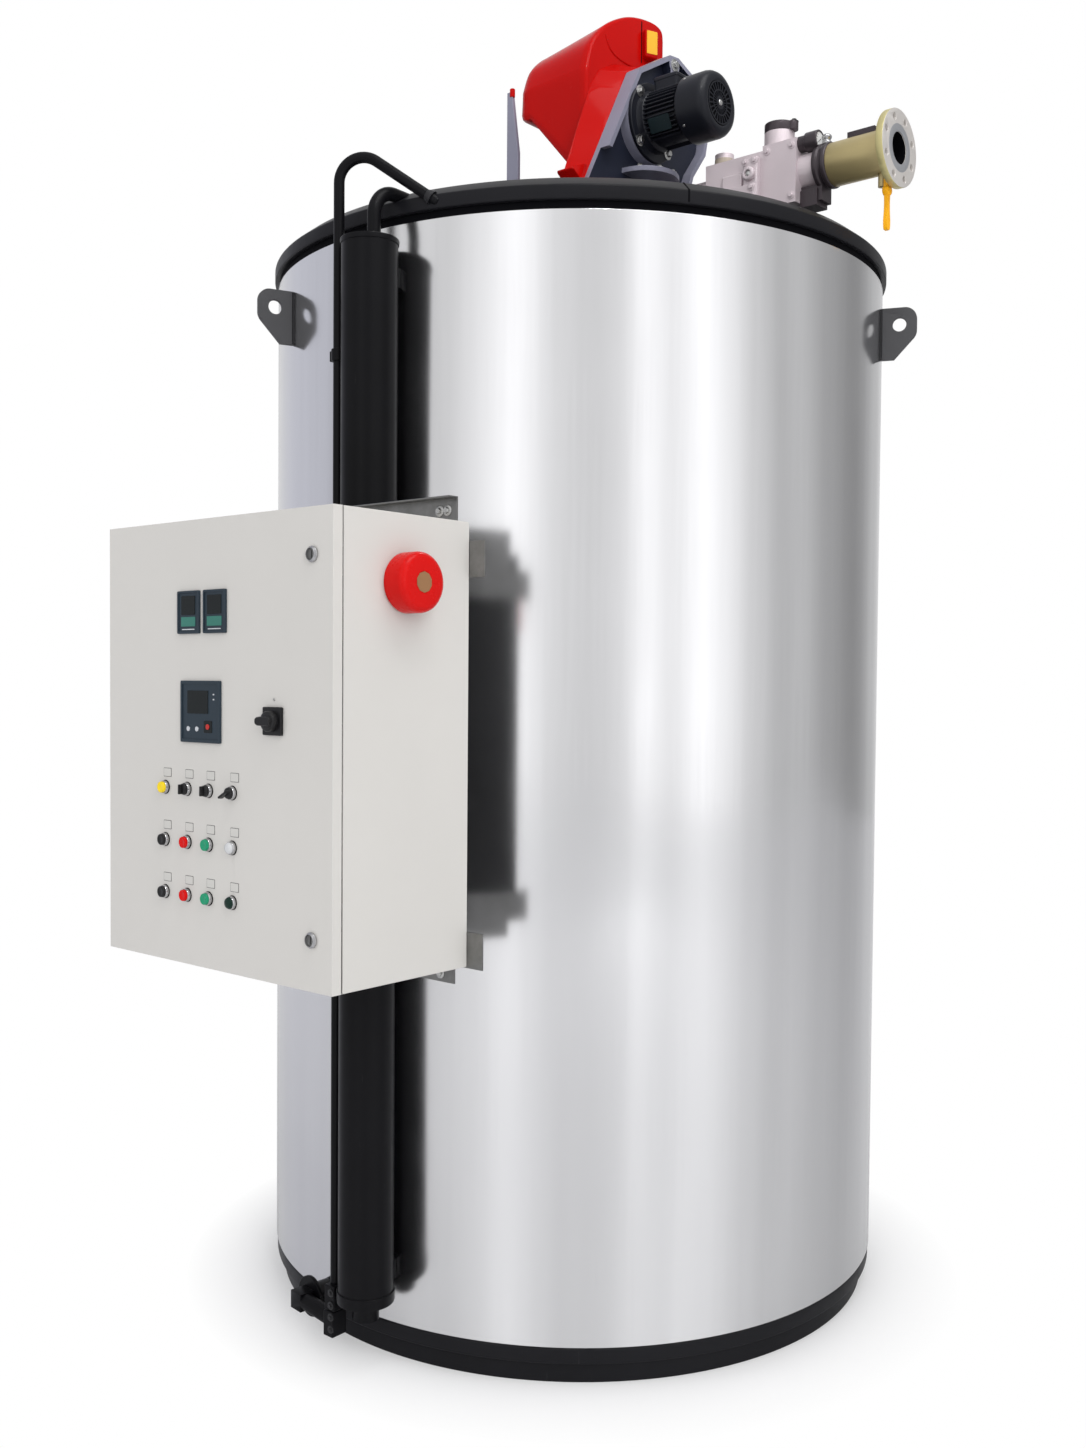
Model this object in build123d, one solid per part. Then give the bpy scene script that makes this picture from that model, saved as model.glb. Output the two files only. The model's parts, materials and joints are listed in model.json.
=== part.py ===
from build123d import *
from math import cos, degrees, radians, sin
import os

# Vertical thermal-oil boiler, fired from the top, with its control cabinet.
# Frame: +Z up, origin on the boiler's axis at the floor, cabinet door facing -Y.
# All sizes in millimetres, angles in degrees.

# How far a cutting shape runs past what it cuts
overcut = 1.0

# Stainless casing and the rings it stands between
casing_radius = 900.0
casing_wall = 20.0
casing_height = 2777.0
plinth_height = 56.0
plinth_inset = 24.0
ring_width = 80.0
base_ring_height = 42.0
base_ring_inset = 3.0
floor_plate_thickness = 12.0
top_band_height = 20.0
top_ring_height = 34.0
top_ring_overhang = 10.0
top_shoulder_inset = 40.0
top_shoulder_height = 30.0
top_plate_thickness = 15.0
top_plate_recess = 12.0

# Lifting lugs
lug_angles = (-112.0, 21.0, 135.0)
lug_thickness = 12.0
lug_rise = 48.0
lug_drop = 98.0
lug_reach = 100.0
lug_hole_diameter = 38.0
lug_hole_drop = 121.0
lug_hole_out = 52.0
lug_nose_drop = 30.0
lug_corner_radius = 34.0
lug_heel_share = 0.38

# Header and small pipes on the cabinet side
header_diameter = 139.7
header_clearance = 15.15
header_angle = -82.75
header_foot_gap = 67.0
header_top_gap = 45.0
header_cap_height = 28.0
header_cap_overhang = 3.0
riser_diameter = 26.9
riser_standoff = 100.0
riser_gap = 20.0
gooseneck_rise = 154.0
gooseneck_run = 243.0
gooseneck_bend = 60.0
vent_diameter = 33.7
vent_offset = 13.0
vent_lean = 13.0
vent_rise = 86.0
vent_bend = 70.0
drain_flange_diameter = 105.0
drain_flange_thickness = 10.0
drain_height = 112.0
drain_pipe_diameter = 42.4
drain_run = 158.8
drain_stub_diameter = 60.3
drain_stub_length = 62.0
drain_elbow_size = 46.0
header_bracket_gaps = (142.0, 135.0)
header_bracket_width = 60.0
header_bracket_height = 50.0
header_bracket_bite = 20.0

# Control cabinet, in the boiler's own frame
cabinet_width = 800.0
cabinet_height = 1000.0
cabinet_depth = 400.0
cabinet_centre_x = 137.5
cabinet_clearance = 7.0
cabinet_bottom = 1093.0
cabinet_wall = 2.0
door_thickness = 25.0
door_sheet = 2.0
door_gap = 3.0
mounting_plate_thickness = 3.0
mounting_plate_gap = 25.0
mounting_plate_border = 35.0
mounting_stud_diameter = 12.0

# Door hinges and locks
hinge_pin_diameter = 8.0
hinge_knuckle_diameter = 14.0
hinge_knuckle_length = 30.0
hinge_offset = 9.0
hinge_clearance = 0.3
hinge_shares = (0.15, 0.85)
hinge_leaf_width = 20.0
lock_diameter = 34.0
lock_projection = 9.0
lock_x_share = 0.42125
lock_shares = (0.108, 0.902)

# Instruments on the door, as shares of the door's width from its centre and of its height from its bottom edge
controller_width = 80.0
controller_height = 96.0
controller_gap = 15.0
controller_x_share = -0.043125
controller_z_share = 0.794
burner_controller_width = 144.0
burner_controller_height = 138.0
burner_controller_x_share = -0.0475
burner_controller_z_share = 0.572
instrument_bezel = 6.0
instrument_depth = 55.0
instrument_clearance = 1.0
instrument_cut_inset = 3.0
switch_plate_size = 60.0
switch_x_share = 0.26875
switch_z_share = 0.557
switch_plate_thickness = 8.0
switch_knob_diameter = 38.0
switch_knob_height = 22.0
switch_pointer_reach = 44.0
switch_blade = 12.0
column_shares = (-0.2175, -0.11375, -0.015, 0.09125)
row_shares = (0.397, 0.277, 0.157)
bezel_diameter = 30.0
bezel_height = 9.0
bezel_bore = 26.0
panel_hole = 22.5
button_body_depth = 40.0
cap_diameter = 25.4
cap_height = 15.0
knob_height = 24.0
knob_blade = 7.0
knob_skirt_share = 0.45
long_handle_reach = 30.0
long_handle_angle = 35.0
button_travel = 4.0
running_gap = 0.3
selectors = ("left_selector", "middle_selector", "right_selector")
button_grid = (("yellow_button",), ("upper_black_button", "upper_red_button", "upper_green_button"),
               ("lower_black_button", "lower_red_button", "lower_green_button"))

# Siren on the cabinet's right side
siren_diameter = 130.0
siren_depth = 60.0
siren_round = 14.0
siren_z_share = 0.852

# Cabinet carriers: plates across the back with arms to the casing
carrier_thickness = 4.0
carrier_overhang = 47.0
carrier_web_inset = 39.0
carrier_lip = 25.0
carrier_top_rise = 61.0
carrier_foot_drop = 45.0
arm_width = 50.0
arm_height = 82.0
arm_top_gap = 42.0
arm_foot_drop = 3.0
arm_inset = 265.0

# Burner, heights from the lid and outlines as points of y and height
motor_axis_height = 419.0
motor_diameter = 184.0
motor_body_diameter = 168.0
motor_flange_diameter = 222.0
motor_flange_thickness = 12.0
motor_length = 136.0
motor_fin_count = 24
motor_fin_depth = 10.0
motor_fin_thickness = 4.0
cowl_length = 92.0
cowl_fillet = 22.0
terminal_box_size = (84.0, 76.0, 26.0)
terminal_box_offset = 22.0
burner_neck_diameter = 330.0
burner_flange_diameter = 420.0
burner_flange_thickness = 20.0
burner_neck_height = 133.0
burner_body_height = 253.0
burner_body_size = 300.0
hood_face_x = 150.0
hood_left_x = -134.0
hood_knee_x = 120.0
hood_undersides = (470.0, 253.0, 253.0)
hood_face_curve = ((-162.0, 560.0), (-132.0, 632.0), (-68.0, 698.0), (16.0, 755.0), (88.0, 790.0), (160.0, 808.0),
                   (194.0, 776.0))
hood_left_curve = ((-150.0, 560.0), (-122.0, 624.0), (-64.0, 668.0), (10.0, 702.0), (76.0, 720.0), (136.0, 722.0),
                   (160.0, 690.0))
hood_nose_depth = 58.0
hood_nose_steps = 4
label_boss = (24.0, 48.0, 100.0)
label_boss_y = 162.0
label_boss_height = 742.0
band_front_x = 215.0
band_back_outline = ((-288.0, 173.0), (-145.0, 515.0), (-104.0, 573.0), (-40.0, 610.0), (73.0, 631.0),
                     (190.0, 620.0), (190.0, 173.0))
band_front_outline = ((-266.0, 173.0), (-87.0, 507.0), (-57.0, 561.0), (20.0, 600.0), (90.0, 630.0),
                      (186.0, 600.0), (186.0, 173.0))
fan_plate_thickness = 17.0
fan_rim_depth = 30.0
fan_rim_width = 14.0
fan_rim_foot = 300.0
fan_outline = ((-266.0, 173.0), (-57.0, 561.0), (95.0, 651.0), (140.0, 657.0), (219.0, 631.0), (303.0, 470.0),
               (290.0, 412.0), (225.0, 329.0), (160.0, 143.0), (-150.0, 143.0))
fan_bolt_boss = (50.0, 118.0, 628.0)
fan_strut_width = 38.0
intake_diameter = 210.0
intake_thickness = 14.0
intake_neck_diameter = 70.0
intake_height = 258.0
intake_centre_y = 8.0
post_left = 21.0
post_top_width = 18.0
post_foot_width = 44.0
post_thickness = 12.0
post_top_height = 566.0
post_taper_height = 380.0

# Gas train, measured back from the face of its flange
gas_axis_y = 90.0
gas_axis_height = 200.0
gas_flange_overhang = 103.0
gas_flange_diameter = 200.0
gas_flange_thickness = 20.0
gas_bolt_circle = 160.0
gas_bolt_hole = 18.0
gas_bolt_count = 8
gas_bore = 82.5
gas_sleeve_diameter = 114.3
gas_sleeve_length = 170.0
sleeve_bar = (80.0, 30.0, 14.0)
union_diameter = 122.0
union_length = 42.0
outlet_diameter = 96.0
outlet_length = 46.0
gas_block_length = 292.0
gas_block_width = 110.0
gas_block_low = -65.0
gas_block_high = 67.0
gas_head_length = 105.0
gas_head_low = -93.0
gas_head_high = 80.0
gas_boss_diameter = 84.0
gas_boss_height = 44.0
gas_boss_back = 84.0
gas_cap_height = 25.0
gas_cap_ear = 30.0
plug_diameter = 54.0
plug_height = 40.0
gauge_diameter = 54.0
gauge_length = 60.0
gauge_drop = 28.0
gauge_rise = 66.0
switch_box = (64.0, 60.0, 58.0)
gas_inlet_diameter = 88.9
lever_length = 130.0
lever_width = 20.0
lever_thickness = 6.0
lever_taper = 0.7
lever_back = 48.0
lever_drop = 20.0
cock_diameter = 22.0
cock_tail = 14.0

# Flue outlet and heat-carrier flanges at the back
flue_diameter = 300.0
flue_angle = 150.0
flue_drop = 455.0
flue_reach = 130.0
flue_flange_diameter = 390.0
flue_flange_thickness = 16.0
flue_wall = 6.0
process_angle = 112.0
process_drops = (260.0, 2280.0)
process_pipe_diameter = 88.9
process_bore = 77.0
process_flange_diameter = 200.0
process_flange_thickness = 20.0
process_reach = 110.0

# Places worked out from the sizes above
casing_bottom = plinth_height + base_ring_height
casing_top = casing_bottom + casing_height
ring_bottom = casing_top + top_band_height
ring_top = ring_bottom + top_ring_height
ring_radius = casing_radius + top_ring_overhang
crown_top = ring_top + top_shoulder_height
crown_radius = ring_radius - top_shoulder_inset
lid_z = crown_top - top_plate_recess
lid_radius = casing_radius - ring_width
lug_hole_z = casing_top - lug_hole_drop
header_radius = casing_radius + header_clearance + header_diameter / 2
header_bottom = casing_bottom + header_foot_gap
header_top = casing_top - header_top_gap
riser_radius = casing_radius + riser_standoff
riser_angle = header_angle - degrees((header_diameter / 2 + riser_gap) / riser_radius)
gooseneck_end_angle = riser_angle + degrees(gooseneck_run / riser_radius)
vent_angle = header_angle + degrees(vent_offset / header_radius)
vent_end_angle = vent_angle + degrees(vent_lean / header_radius)
drain_stub_angle = riser_angle - degrees(drain_run / riser_radius)
cabinet_back_y = header_radius * sin(radians(header_angle)) - header_diameter / 2 - cabinet_clearance
cabinet_face_y = cabinet_back_y - cabinet_depth
cabinet_front_y = cabinet_face_y + door_thickness + door_gap
cabinet_left_x = cabinet_centre_x - cabinet_width / 2
cabinet_right_x = cabinet_centre_x + cabinet_width / 2
cabinet_top = cabinet_bottom + cabinet_height
door_back_y = cabinet_face_y + door_thickness
hinge_axis_x = cabinet_left_x - hinge_offset
hinge_axis_y = door_back_y + door_gap / 2
controller_pitch = controller_width + controller_gap
controller_middle = controller_x_share * cabinet_width
controller_xs = (controller_middle - controller_pitch / 2, controller_middle + controller_pitch / 2)
controller_z = controller_z_share * cabinet_height
burner_controller_x = burner_controller_x_share * cabinet_width
burner_controller_z = burner_controller_z_share * cabinet_height
switch_x = switch_x_share * cabinet_width
switch_z = switch_z_share * cabinet_height
button_columns = [share * cabinet_width for share in column_shares]
button_rows = [share * cabinet_height for share in row_shares]
motor_axis_z = lid_z + motor_axis_height
fan_face_x = band_front_x + fan_plate_thickness
motor_face_x = fan_face_x + fan_rim_depth
gas_axis_z = lid_z + gas_axis_height
gas_flange_x = casing_radius + gas_flange_overhang
gas_flange_back = gas_flange_x - gas_flange_thickness
sleeve_x = gas_flange_back - gas_sleeve_length
union_x = sleeve_x - union_length
gas_block_x1 = union_x - outlet_length
gas_block_x0 = gas_block_x1 - gas_block_length
lever_x = gas_flange_x - lever_back


def polar(radius, angle, z=0.0):
    return Vector(radius * cos(radians(angle)), radius * sin(radians(angle)), z)


def rod(diameter, length, at, axis="z"):
    """A round bar from its start point along one of the frame's axes."""
    turn = {"z": Rot(0, 0, 0), "x": Rot(0, 90, 0), "y": Rot(-90, 0, 0)}[axis]
    return Pos(*at) * turn * Cylinder(diameter / 2, length, align=(Align.CENTER, Align.CENTER, Align.MIN))


def rod_along(diameter, length, start, direction):
    """A round bar from its start point in any direction."""
    return Plane(origin=start, z_dir=direction) * Cylinder(diameter / 2, length,
                                                           align=(Align.CENTER, Align.CENTER, Align.MIN))


def block(x0, x1, y0, y1, z0, z1):
    return Pos((x0 + x1) / 2, (y0 + y1) / 2, (z0 + z1) / 2) * Box(x1 - x0, y1 - y0, z1 - z0)


def tube_ring(outer, inner, z0, z1):
    """A flat round ring about the boiler's axis."""
    solid = Cylinder(outer, z1 - z0) - Cylinder(inner, z1 - z0 + 2 * overcut)
    return Pos(0, 0, (z0 + z1) / 2) * solid


def save(name, shape):
    export_step(shape, f"parts/{name}.step")


def base_parts():
    outer = casing_radius - plinth_inset
    save("plinth_ring", tube_ring(outer, outer - ring_width, 0, plinth_height))
    inner = casing_radius - ring_width
    save("base_ring", tube_ring(casing_radius - base_ring_inset, inner, plinth_height, casing_bottom))
    floor = Pos(0, 0, floor_plate_thickness / 2) * Cylinder(outer - ring_width, floor_plate_thickness)
    save("floor_plate", floor)


def casing_part():
    save("casing", tube_ring(casing_radius, casing_radius - casing_wall, casing_bottom, casing_top))


def crown_section(inner):
    """Cross-section of the top ring and its sloping shoulder, outward from an inner radius."""
    profile = Polyline((inner, ring_bottom), (ring_radius, ring_bottom), (ring_radius, ring_top),
                       (crown_radius, crown_top), (inner, crown_top), close=True)
    return make_face(Plane.XZ * profile)


def top_parts():
    save("top_band", tube_ring(casing_radius, lid_radius, casing_top, ring_bottom))
    save("top_ring", revolve(crown_section(lid_radius), Axis.Z))
    save("top_plate", Pos(0, 0, lid_z - top_plate_thickness / 2) * Cylinder(lid_radius, top_plate_thickness))


def lug(angle):
    """A radial lifting plate with a round eye and a chamfered lower corner."""
    z0 = lug_hole_z - lug_drop
    z1 = lug_hole_z + lug_rise
    outline = Polyline((0, z0), (lug_reach * lug_heel_share, z0), (lug_reach, lug_hole_z - lug_nose_drop),
                       (lug_reach, z1), (0, z1), close=True)
    plate = extrude(make_face(Plane.XZ * outline), lug_thickness / 2, both=True)
    plate = fillet(plate.edges().filter_by(Axis.Y).sort_by(Axis.X)[-2:], lug_corner_radius)
    eye_at = (lug_hole_out, -lug_thickness / 2 - overcut, lug_hole_z)
    eye = rod(lug_hole_diameter, lug_thickness + 2 * overcut, eye_at, "y")
    return Rot(0, 0, angle) * Pos(casing_radius, 0, 0) * (plate - eye)


def lug_parts():
    for name, angle in zip(("front_lug", "right_lug", "back_lug"), lug_angles):
        save(name, lug(angle) - drum())


def drum():
    """The boiler's whole round body, to cut what meets it."""
    return Cylinder(casing_radius, casing_top, align=(Align.CENTER, Align.CENTER, Align.MIN))


def header_parts():
    centre = polar(header_radius, header_angle)
    cap = header_diameter + 2 * header_cap_overhang
    body = rod(header_diameter, header_top - header_bottom, (centre.X, centre.Y, header_bottom))
    body += rod(cap, header_cap_height, (centre.X, centre.Y, header_bottom - header_cap_height))
    body += rod(cap, header_cap_height, (centre.X, centre.Y, header_top))
    save("header_pipe", body)


def pipe(diameter, route, bend):
    """A round pipe along straight runs joined by bends."""
    path = FilletPolyline(*route, radius=bend)
    section = Plane(origin=path @ 0, z_dir=path % 0) * Circle(diameter / 2)
    return sweep(section, path=path)


def small_pipes():
    crown = revolve(crown_section(0), Axis.Z)
    foot = polar(riser_radius, riser_angle, drain_height + drain_flange_diameter / 2)
    end = polar(casing_radius, gooseneck_end_angle, ring_bottom + top_ring_height / 2)
    corner = (foot.X, foot.Y, ring_top + gooseneck_rise)
    save("riser_pipe", pipe(riser_diameter, [tuple(foot), corner, tuple(end)], gooseneck_bend) - crown)
    top = polar(header_radius, vent_angle, header_top + header_cap_height)
    inside = polar(crown_radius, vent_end_angle, top.Z + vent_rise)
    vent = pipe(vent_diameter, [tuple(top), (top.X, top.Y, inside.Z), tuple(inside)], vent_bend)
    save("vent_pipe", vent - crown)


def drain_parts():
    """The drain stub, its blind flange, and the pipe along to the pair of flanges under the riser."""
    outward = polar(1, drain_stub_angle)
    start = polar(casing_radius, drain_stub_angle, drain_height)
    plate_at = start + outward * drain_stub_length
    stub = rod_along(drain_stub_diameter, drain_stub_length, start, outward)
    plate_back = plate_at - outward * drain_flange_thickness
    stub += rod_along(drain_flange_diameter, drain_flange_thickness, plate_back, outward)
    save("drain_stub", stub - tube_ring(casing_radius, casing_radius - ring_width, 0, casing_bottom))
    foot = polar(riser_radius, riser_angle, drain_height)
    elbow_at = plate_at + outward * (drain_pipe_diameter / 2)
    line = foot - elbow_at
    along = line.normalized()
    elbow = Plane(origin=elbow_at, x_dir=outward, z_dir=(0, 0, 1)) * Box(drain_pipe_diameter, drain_elbow_size,
                                                                         drain_elbow_size)
    pair_start = foot - along * drain_flange_thickness
    pair = rod_along(drain_flange_diameter, 2 * drain_flange_thickness, pair_start, along)
    save("drain_pipe", elbow + rod_along(drain_pipe_diameter, line.length, elbow_at, along) - pair)
    save("riser_foot_flanges", pair)


def bracket_parts():
    """Plates that carry the header on the casing, and the plates and arms that carry the cabinet."""
    reach = header_clearance + header_bracket_bite
    centre = polar(header_radius, header_angle)
    header = rod(header_diameter, casing_top, (centre.X, centre.Y, 0))
    webs = []
    for z in (casing_bottom + header_bracket_gaps[0], casing_top - header_bracket_gaps[1]):
        web = Pos(casing_radius + reach / 2, 0, z) * Box(reach, header_bracket_width, header_bracket_height)
        webs.append(Rot(0, 0, header_angle) * web - header - drum())
    save("header_brackets", Compound(webs))
    low = cabinet_bottom - arm_foot_drop
    high = cabinet_top - arm_top_gap
    x0 = cabinet_left_x - carrier_overhang
    x1 = cabinet_right_x + carrier_overhang
    y1 = cabinet_back_y + carrier_thickness
    web_x0 = cabinet_left_x + carrier_web_inset
    web_x1 = cabinet_right_x - carrier_web_inset
    top = cabinet_top + carrier_top_rise
    foot = block(x0, x1, cabinet_back_y, y1, low, low + arm_height)
    foot += block(web_x0, web_x1, cabinet_back_y, y1, cabinet_bottom - carrier_foot_drop, low)
    head = block(x0, x1, cabinet_back_y, y1, high - arm_height, high)
    head += block(web_x0, web_x1, cabinet_back_y, y1, high, top)
    head += block(web_x0, web_x1, cabinet_back_y - carrier_lip, y1, top - carrier_thickness, top)
    save("cabinet_rails", Compound([foot, head]))
    arms = []
    for x in (x0 + arm_inset, x1 - arm_inset - arm_width):
        for z in (low, high - arm_height):
            arm = block(x, x + arm_width, y1, 0, z, z + arm_height)
            hollow = block(x + carrier_thickness, x + arm_width - carrier_thickness, y1 - overcut, 0,
                           z + carrier_thickness, z + arm_height + overcut)
            arms.append(arm - hollow - drum())
    save("cabinet_arms", Compound(arms))


def siren_part():
    at = (cabinet_right_x, cabinet_face_y + cabinet_depth / 2, cabinet_bottom + siren_z_share * cabinet_height)
    body = rod(siren_diameter, siren_depth, at, "x")
    save("siren", fillet(body.edges().sort_by(Axis.X)[-1], siren_round))


def cabinet_parts():
    outer = block(cabinet_left_x, cabinet_right_x, cabinet_front_y, cabinet_back_y, cabinet_bottom, cabinet_top)
    inner = block(cabinet_left_x + cabinet_wall, cabinet_right_x - cabinet_wall, cabinet_front_y - overcut,
                  cabinet_back_y - cabinet_wall, cabinet_bottom + cabinet_wall, cabinet_top - cabinet_wall)
    save("cabinet_body", outer - inner)
    back = cabinet_back_y - cabinet_wall - mounting_plate_gap
    plate = block(cabinet_left_x + mounting_plate_border, cabinet_right_x - mounting_plate_border,
                  back - mounting_plate_thickness, back, cabinet_bottom + mounting_plate_border,
                  cabinet_top - mounting_plate_border)
    inset = 2 * mounting_plate_border
    for x in (cabinet_left_x + inset, cabinet_right_x - inset):
        for z in (cabinet_bottom + inset, cabinet_top - inset):
            plate += rod(mounting_stud_diameter, mounting_plate_gap, (x, back, z), "y")
    save("mounting_plate", plate)


def door_cut(x, z, width, height):
    """The opening in the door behind an instrument's bezel."""
    cx = cabinet_centre_x + x
    cz = cabinet_bottom + z
    width -= 2 * instrument_cut_inset
    height -= 2 * instrument_cut_inset
    return block(cx - width / 2, cx + width / 2, cabinet_face_y - overcut, door_back_y, cz - height / 2,
                 cz + height / 2)


def door_parts():
    shell = block(cabinet_left_x, cabinet_right_x, cabinet_face_y, door_back_y, cabinet_bottom, cabinet_top)
    hollow = block(cabinet_left_x + door_sheet, cabinet_right_x - door_sheet, cabinet_face_y + door_sheet,
                   door_back_y + overcut, cabinet_bottom + door_sheet, cabinet_top - door_sheet)
    door = shell - hollow
    holes = [door_cut(x, controller_z, controller_width, controller_height) for x in controller_xs]
    holes.append(door_cut(burner_controller_x, burner_controller_z, burner_controller_width,
                          burner_controller_height))
    for x in button_columns:
        for z in button_rows:
            holes.append(rod(panel_hole, door_thickness,
                             (cabinet_centre_x + x, cabinet_face_y - overcut, cabinet_bottom + z), "y"))
    save("door_panel", door - holes)


def hinge_parts():
    leaves = []
    knuckles = []
    half = hinge_knuckle_length / 2
    leaf_gap = door_gap / 2
    for share in hinge_shares:
        z = cabinet_bottom + share * cabinet_height
        pin = rod(hinge_pin_diameter, 3 * hinge_knuckle_length, (hinge_axis_x, hinge_axis_y, z - 3 * half))
        for low in (z - 3 * half, z + half):
            pin += rod(hinge_knuckle_diameter, hinge_knuckle_length, (hinge_axis_x, hinge_axis_y, low))
            pin += block(hinge_axis_x, cabinet_left_x, hinge_axis_y + leaf_gap, hinge_axis_y + hinge_leaf_width, low,
                         low + hinge_knuckle_length)
        leaves.append(pin)
        low = z - half + hinge_clearance
        length = hinge_knuckle_length - 2 * hinge_clearance
        knuckle = rod(hinge_knuckle_diameter, length, (hinge_axis_x, hinge_axis_y, low))
        knuckle += block(hinge_axis_x, cabinet_left_x, hinge_axis_y - hinge_leaf_width, hinge_axis_y - leaf_gap, low,
                         low + length)
        bore = rod(hinge_pin_diameter + 2 * hinge_clearance, length + 2 * overcut,
                   (hinge_axis_x, hinge_axis_y, low - overcut))
        knuckles.append(knuckle - bore)
    save("hinge_leaves", Compound(leaves))
    save("door_hinges", Compound(knuckles))


def on_door(diameter, length, x, z, proud=0.0):
    """A round piece standing out from the door face by its length, starting at a distance proud of it."""
    return rod(diameter, length, (cabinet_centre_x + x, cabinet_face_y - proud - length, cabinet_bottom + z), "y")


def instrument(x, z, width, height):
    cx = cabinet_centre_x + x
    cz = cabinet_bottom + z
    bezel = block(cx - width / 2, cx + width / 2, cabinet_face_y - instrument_bezel, cabinet_face_y,
                  cz - height / 2, cz + height / 2)
    trim = instrument_clearance + instrument_cut_inset
    body = block(cx - width / 2 + trim, cx + width / 2 - trim, cabinet_face_y, cabinet_face_y + instrument_depth,
                 cz - height / 2 + trim, cz + height / 2 - trim)
    return bezel + body


def door_fittings():
    lock_x = lock_x_share * cabinet_width
    locks = [on_door(lock_diameter, lock_projection, lock_x, share * cabinet_height) for share in lock_shares]
    save("door_locks", Compound(locks))
    pair = [instrument(x, controller_z, controller_width, controller_height) for x in controller_xs]
    save("temperature_controllers", Compound(pair))
    save("burner_controller", instrument(burner_controller_x, burner_controller_z, burner_controller_width,
                                         burner_controller_height))
    cx = cabinet_centre_x + switch_x
    cz = cabinet_bottom + switch_z
    plate = block(cx - switch_plate_size / 2, cx + switch_plate_size / 2, cabinet_face_y - switch_plate_thickness,
                  cabinet_face_y, cz - switch_plate_size / 2, cz + switch_plate_size / 2)
    save("main_switch_plate", plate)
    bezels = []
    for z in button_rows:
        for x in button_columns:
            ring = on_door(bezel_diameter, bezel_height, x, z)
            ring -= on_door(bezel_bore, bezel_height + overcut, x, z)
            behind = block(cabinet_centre_x + x - bezel_diameter / 2, cabinet_centre_x + x + bezel_diameter / 2,
                           cabinet_face_y + door_sheet, cabinet_face_y + door_sheet + button_body_depth,
                           cabinet_bottom + z - bezel_diameter / 2, cabinet_bottom + z + bezel_diameter / 2)
            bezels += [ring, behind]
    save("button_bezels", Compound(bezels))
    lamps = [on_door(cap_diameter, cap_height, button_columns[-1], z) for z in button_rows[1:]]
    save("signal_lamps", Compound(lamps))


def knob(x, z, diameter, height, proud, blade, reach, angle):
    """A selector knob: a round skirt and a grip across it that reaches out on one side at an angle."""
    skirt_height = height * knob_skirt_share
    skirt = on_door(diameter, skirt_height, x, z, proud)
    grip = block(-blade / 2, blade / 2, -proud - height, -proud - skirt_height, -reach, diameter / 2)
    return skirt + Pos(cabinet_centre_x + x, cabinet_face_y, cabinet_bottom + z) * Rot(0, angle, 0) * grip


def moving_controls():
    save("main_switch_knob", knob(switch_x, switch_z, switch_knob_diameter, switch_knob_height,
                                  switch_plate_thickness + running_gap, switch_blade, switch_pointer_reach, 90))
    half = cap_diameter / 2
    handles = ((half, 0.0), (half, 0.0), (long_handle_reach, long_handle_angle))
    for name, x, handle in zip(selectors, button_columns[1:], handles):
        save(name, knob(x, button_rows[0], cap_diameter, knob_height, running_gap, knob_blade, *handle))
    for names, z in zip(button_grid, button_rows):
        for name, x in zip(names, button_columns):
            save(name, on_door(cap_diameter, cap_height - button_travel, x, z, button_travel + running_gap))


def lifted(points):
    """Outline points with their heights taken from the lid."""
    return [(a, lid_z + b) for a, b in points]


def cross_face(points, x):
    """A face across the burner from an outline of y and height, at a distance along it."""
    return make_face(Plane.YZ.offset(x) * Polyline(*lifted(points), close=True))


def slab(points, x0, x1):
    return extrude(cross_face(points, x0), x1 - x0, dir=(1, 0, 0))


def hood_section(curve, underside, x):
    """A section across the hood: a curved crown on two upright sides, closed by its underside."""
    crown = [Vector(y, lid_z + height) for y, height in curve]
    low = lid_z + underside
    first = Vector(crown[0].X, low)
    last = Vector(crown[-1].X, low)
    outline = Spline(*crown, tangents=((0, 1), (0, -1)))
    outline += [Line(crown[-1], last), Line(last, first), Line(first, crown[0])]
    return make_face(Plane.YZ.offset(x) * outline)


def hood_shell():
    """The hood's shell, from a rounded nose at its left end through its knee to its flat face."""
    left_x = hood_left_x + hood_nose_depth
    left = hood_section(hood_left_curve, hood_undersides[0], left_x)
    share = (hood_knee_x - left_x) / (hood_face_x - left_x)
    knee_curve = [(a + (c - a) * share, b + (d - b) * share)
                  for (a, b), (c, d) in zip(hood_left_curve, hood_face_curve)]
    half_width = (hood_left_curve[-1][0] - hood_left_curve[0][0]) / 2
    middle = left.center()
    nose = []
    for i in range(hood_nose_steps):
        turn = radians(90 * i / hood_nose_steps)
        size = 1 - hood_nose_depth * (1 - sin(turn)) / half_width
        shift = middle * (1 - size) - Vector(hood_nose_depth * cos(turn), 0, 0)
        nose.append(Pos(*shift) * left.scale(size))
    sections = nose + [left, hood_section(knee_curve, hood_undersides[1], hood_knee_x),
                       hood_section(hood_face_curve, hood_undersides[2], hood_face_x)]
    return loft(sections, ruled=True)


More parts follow.
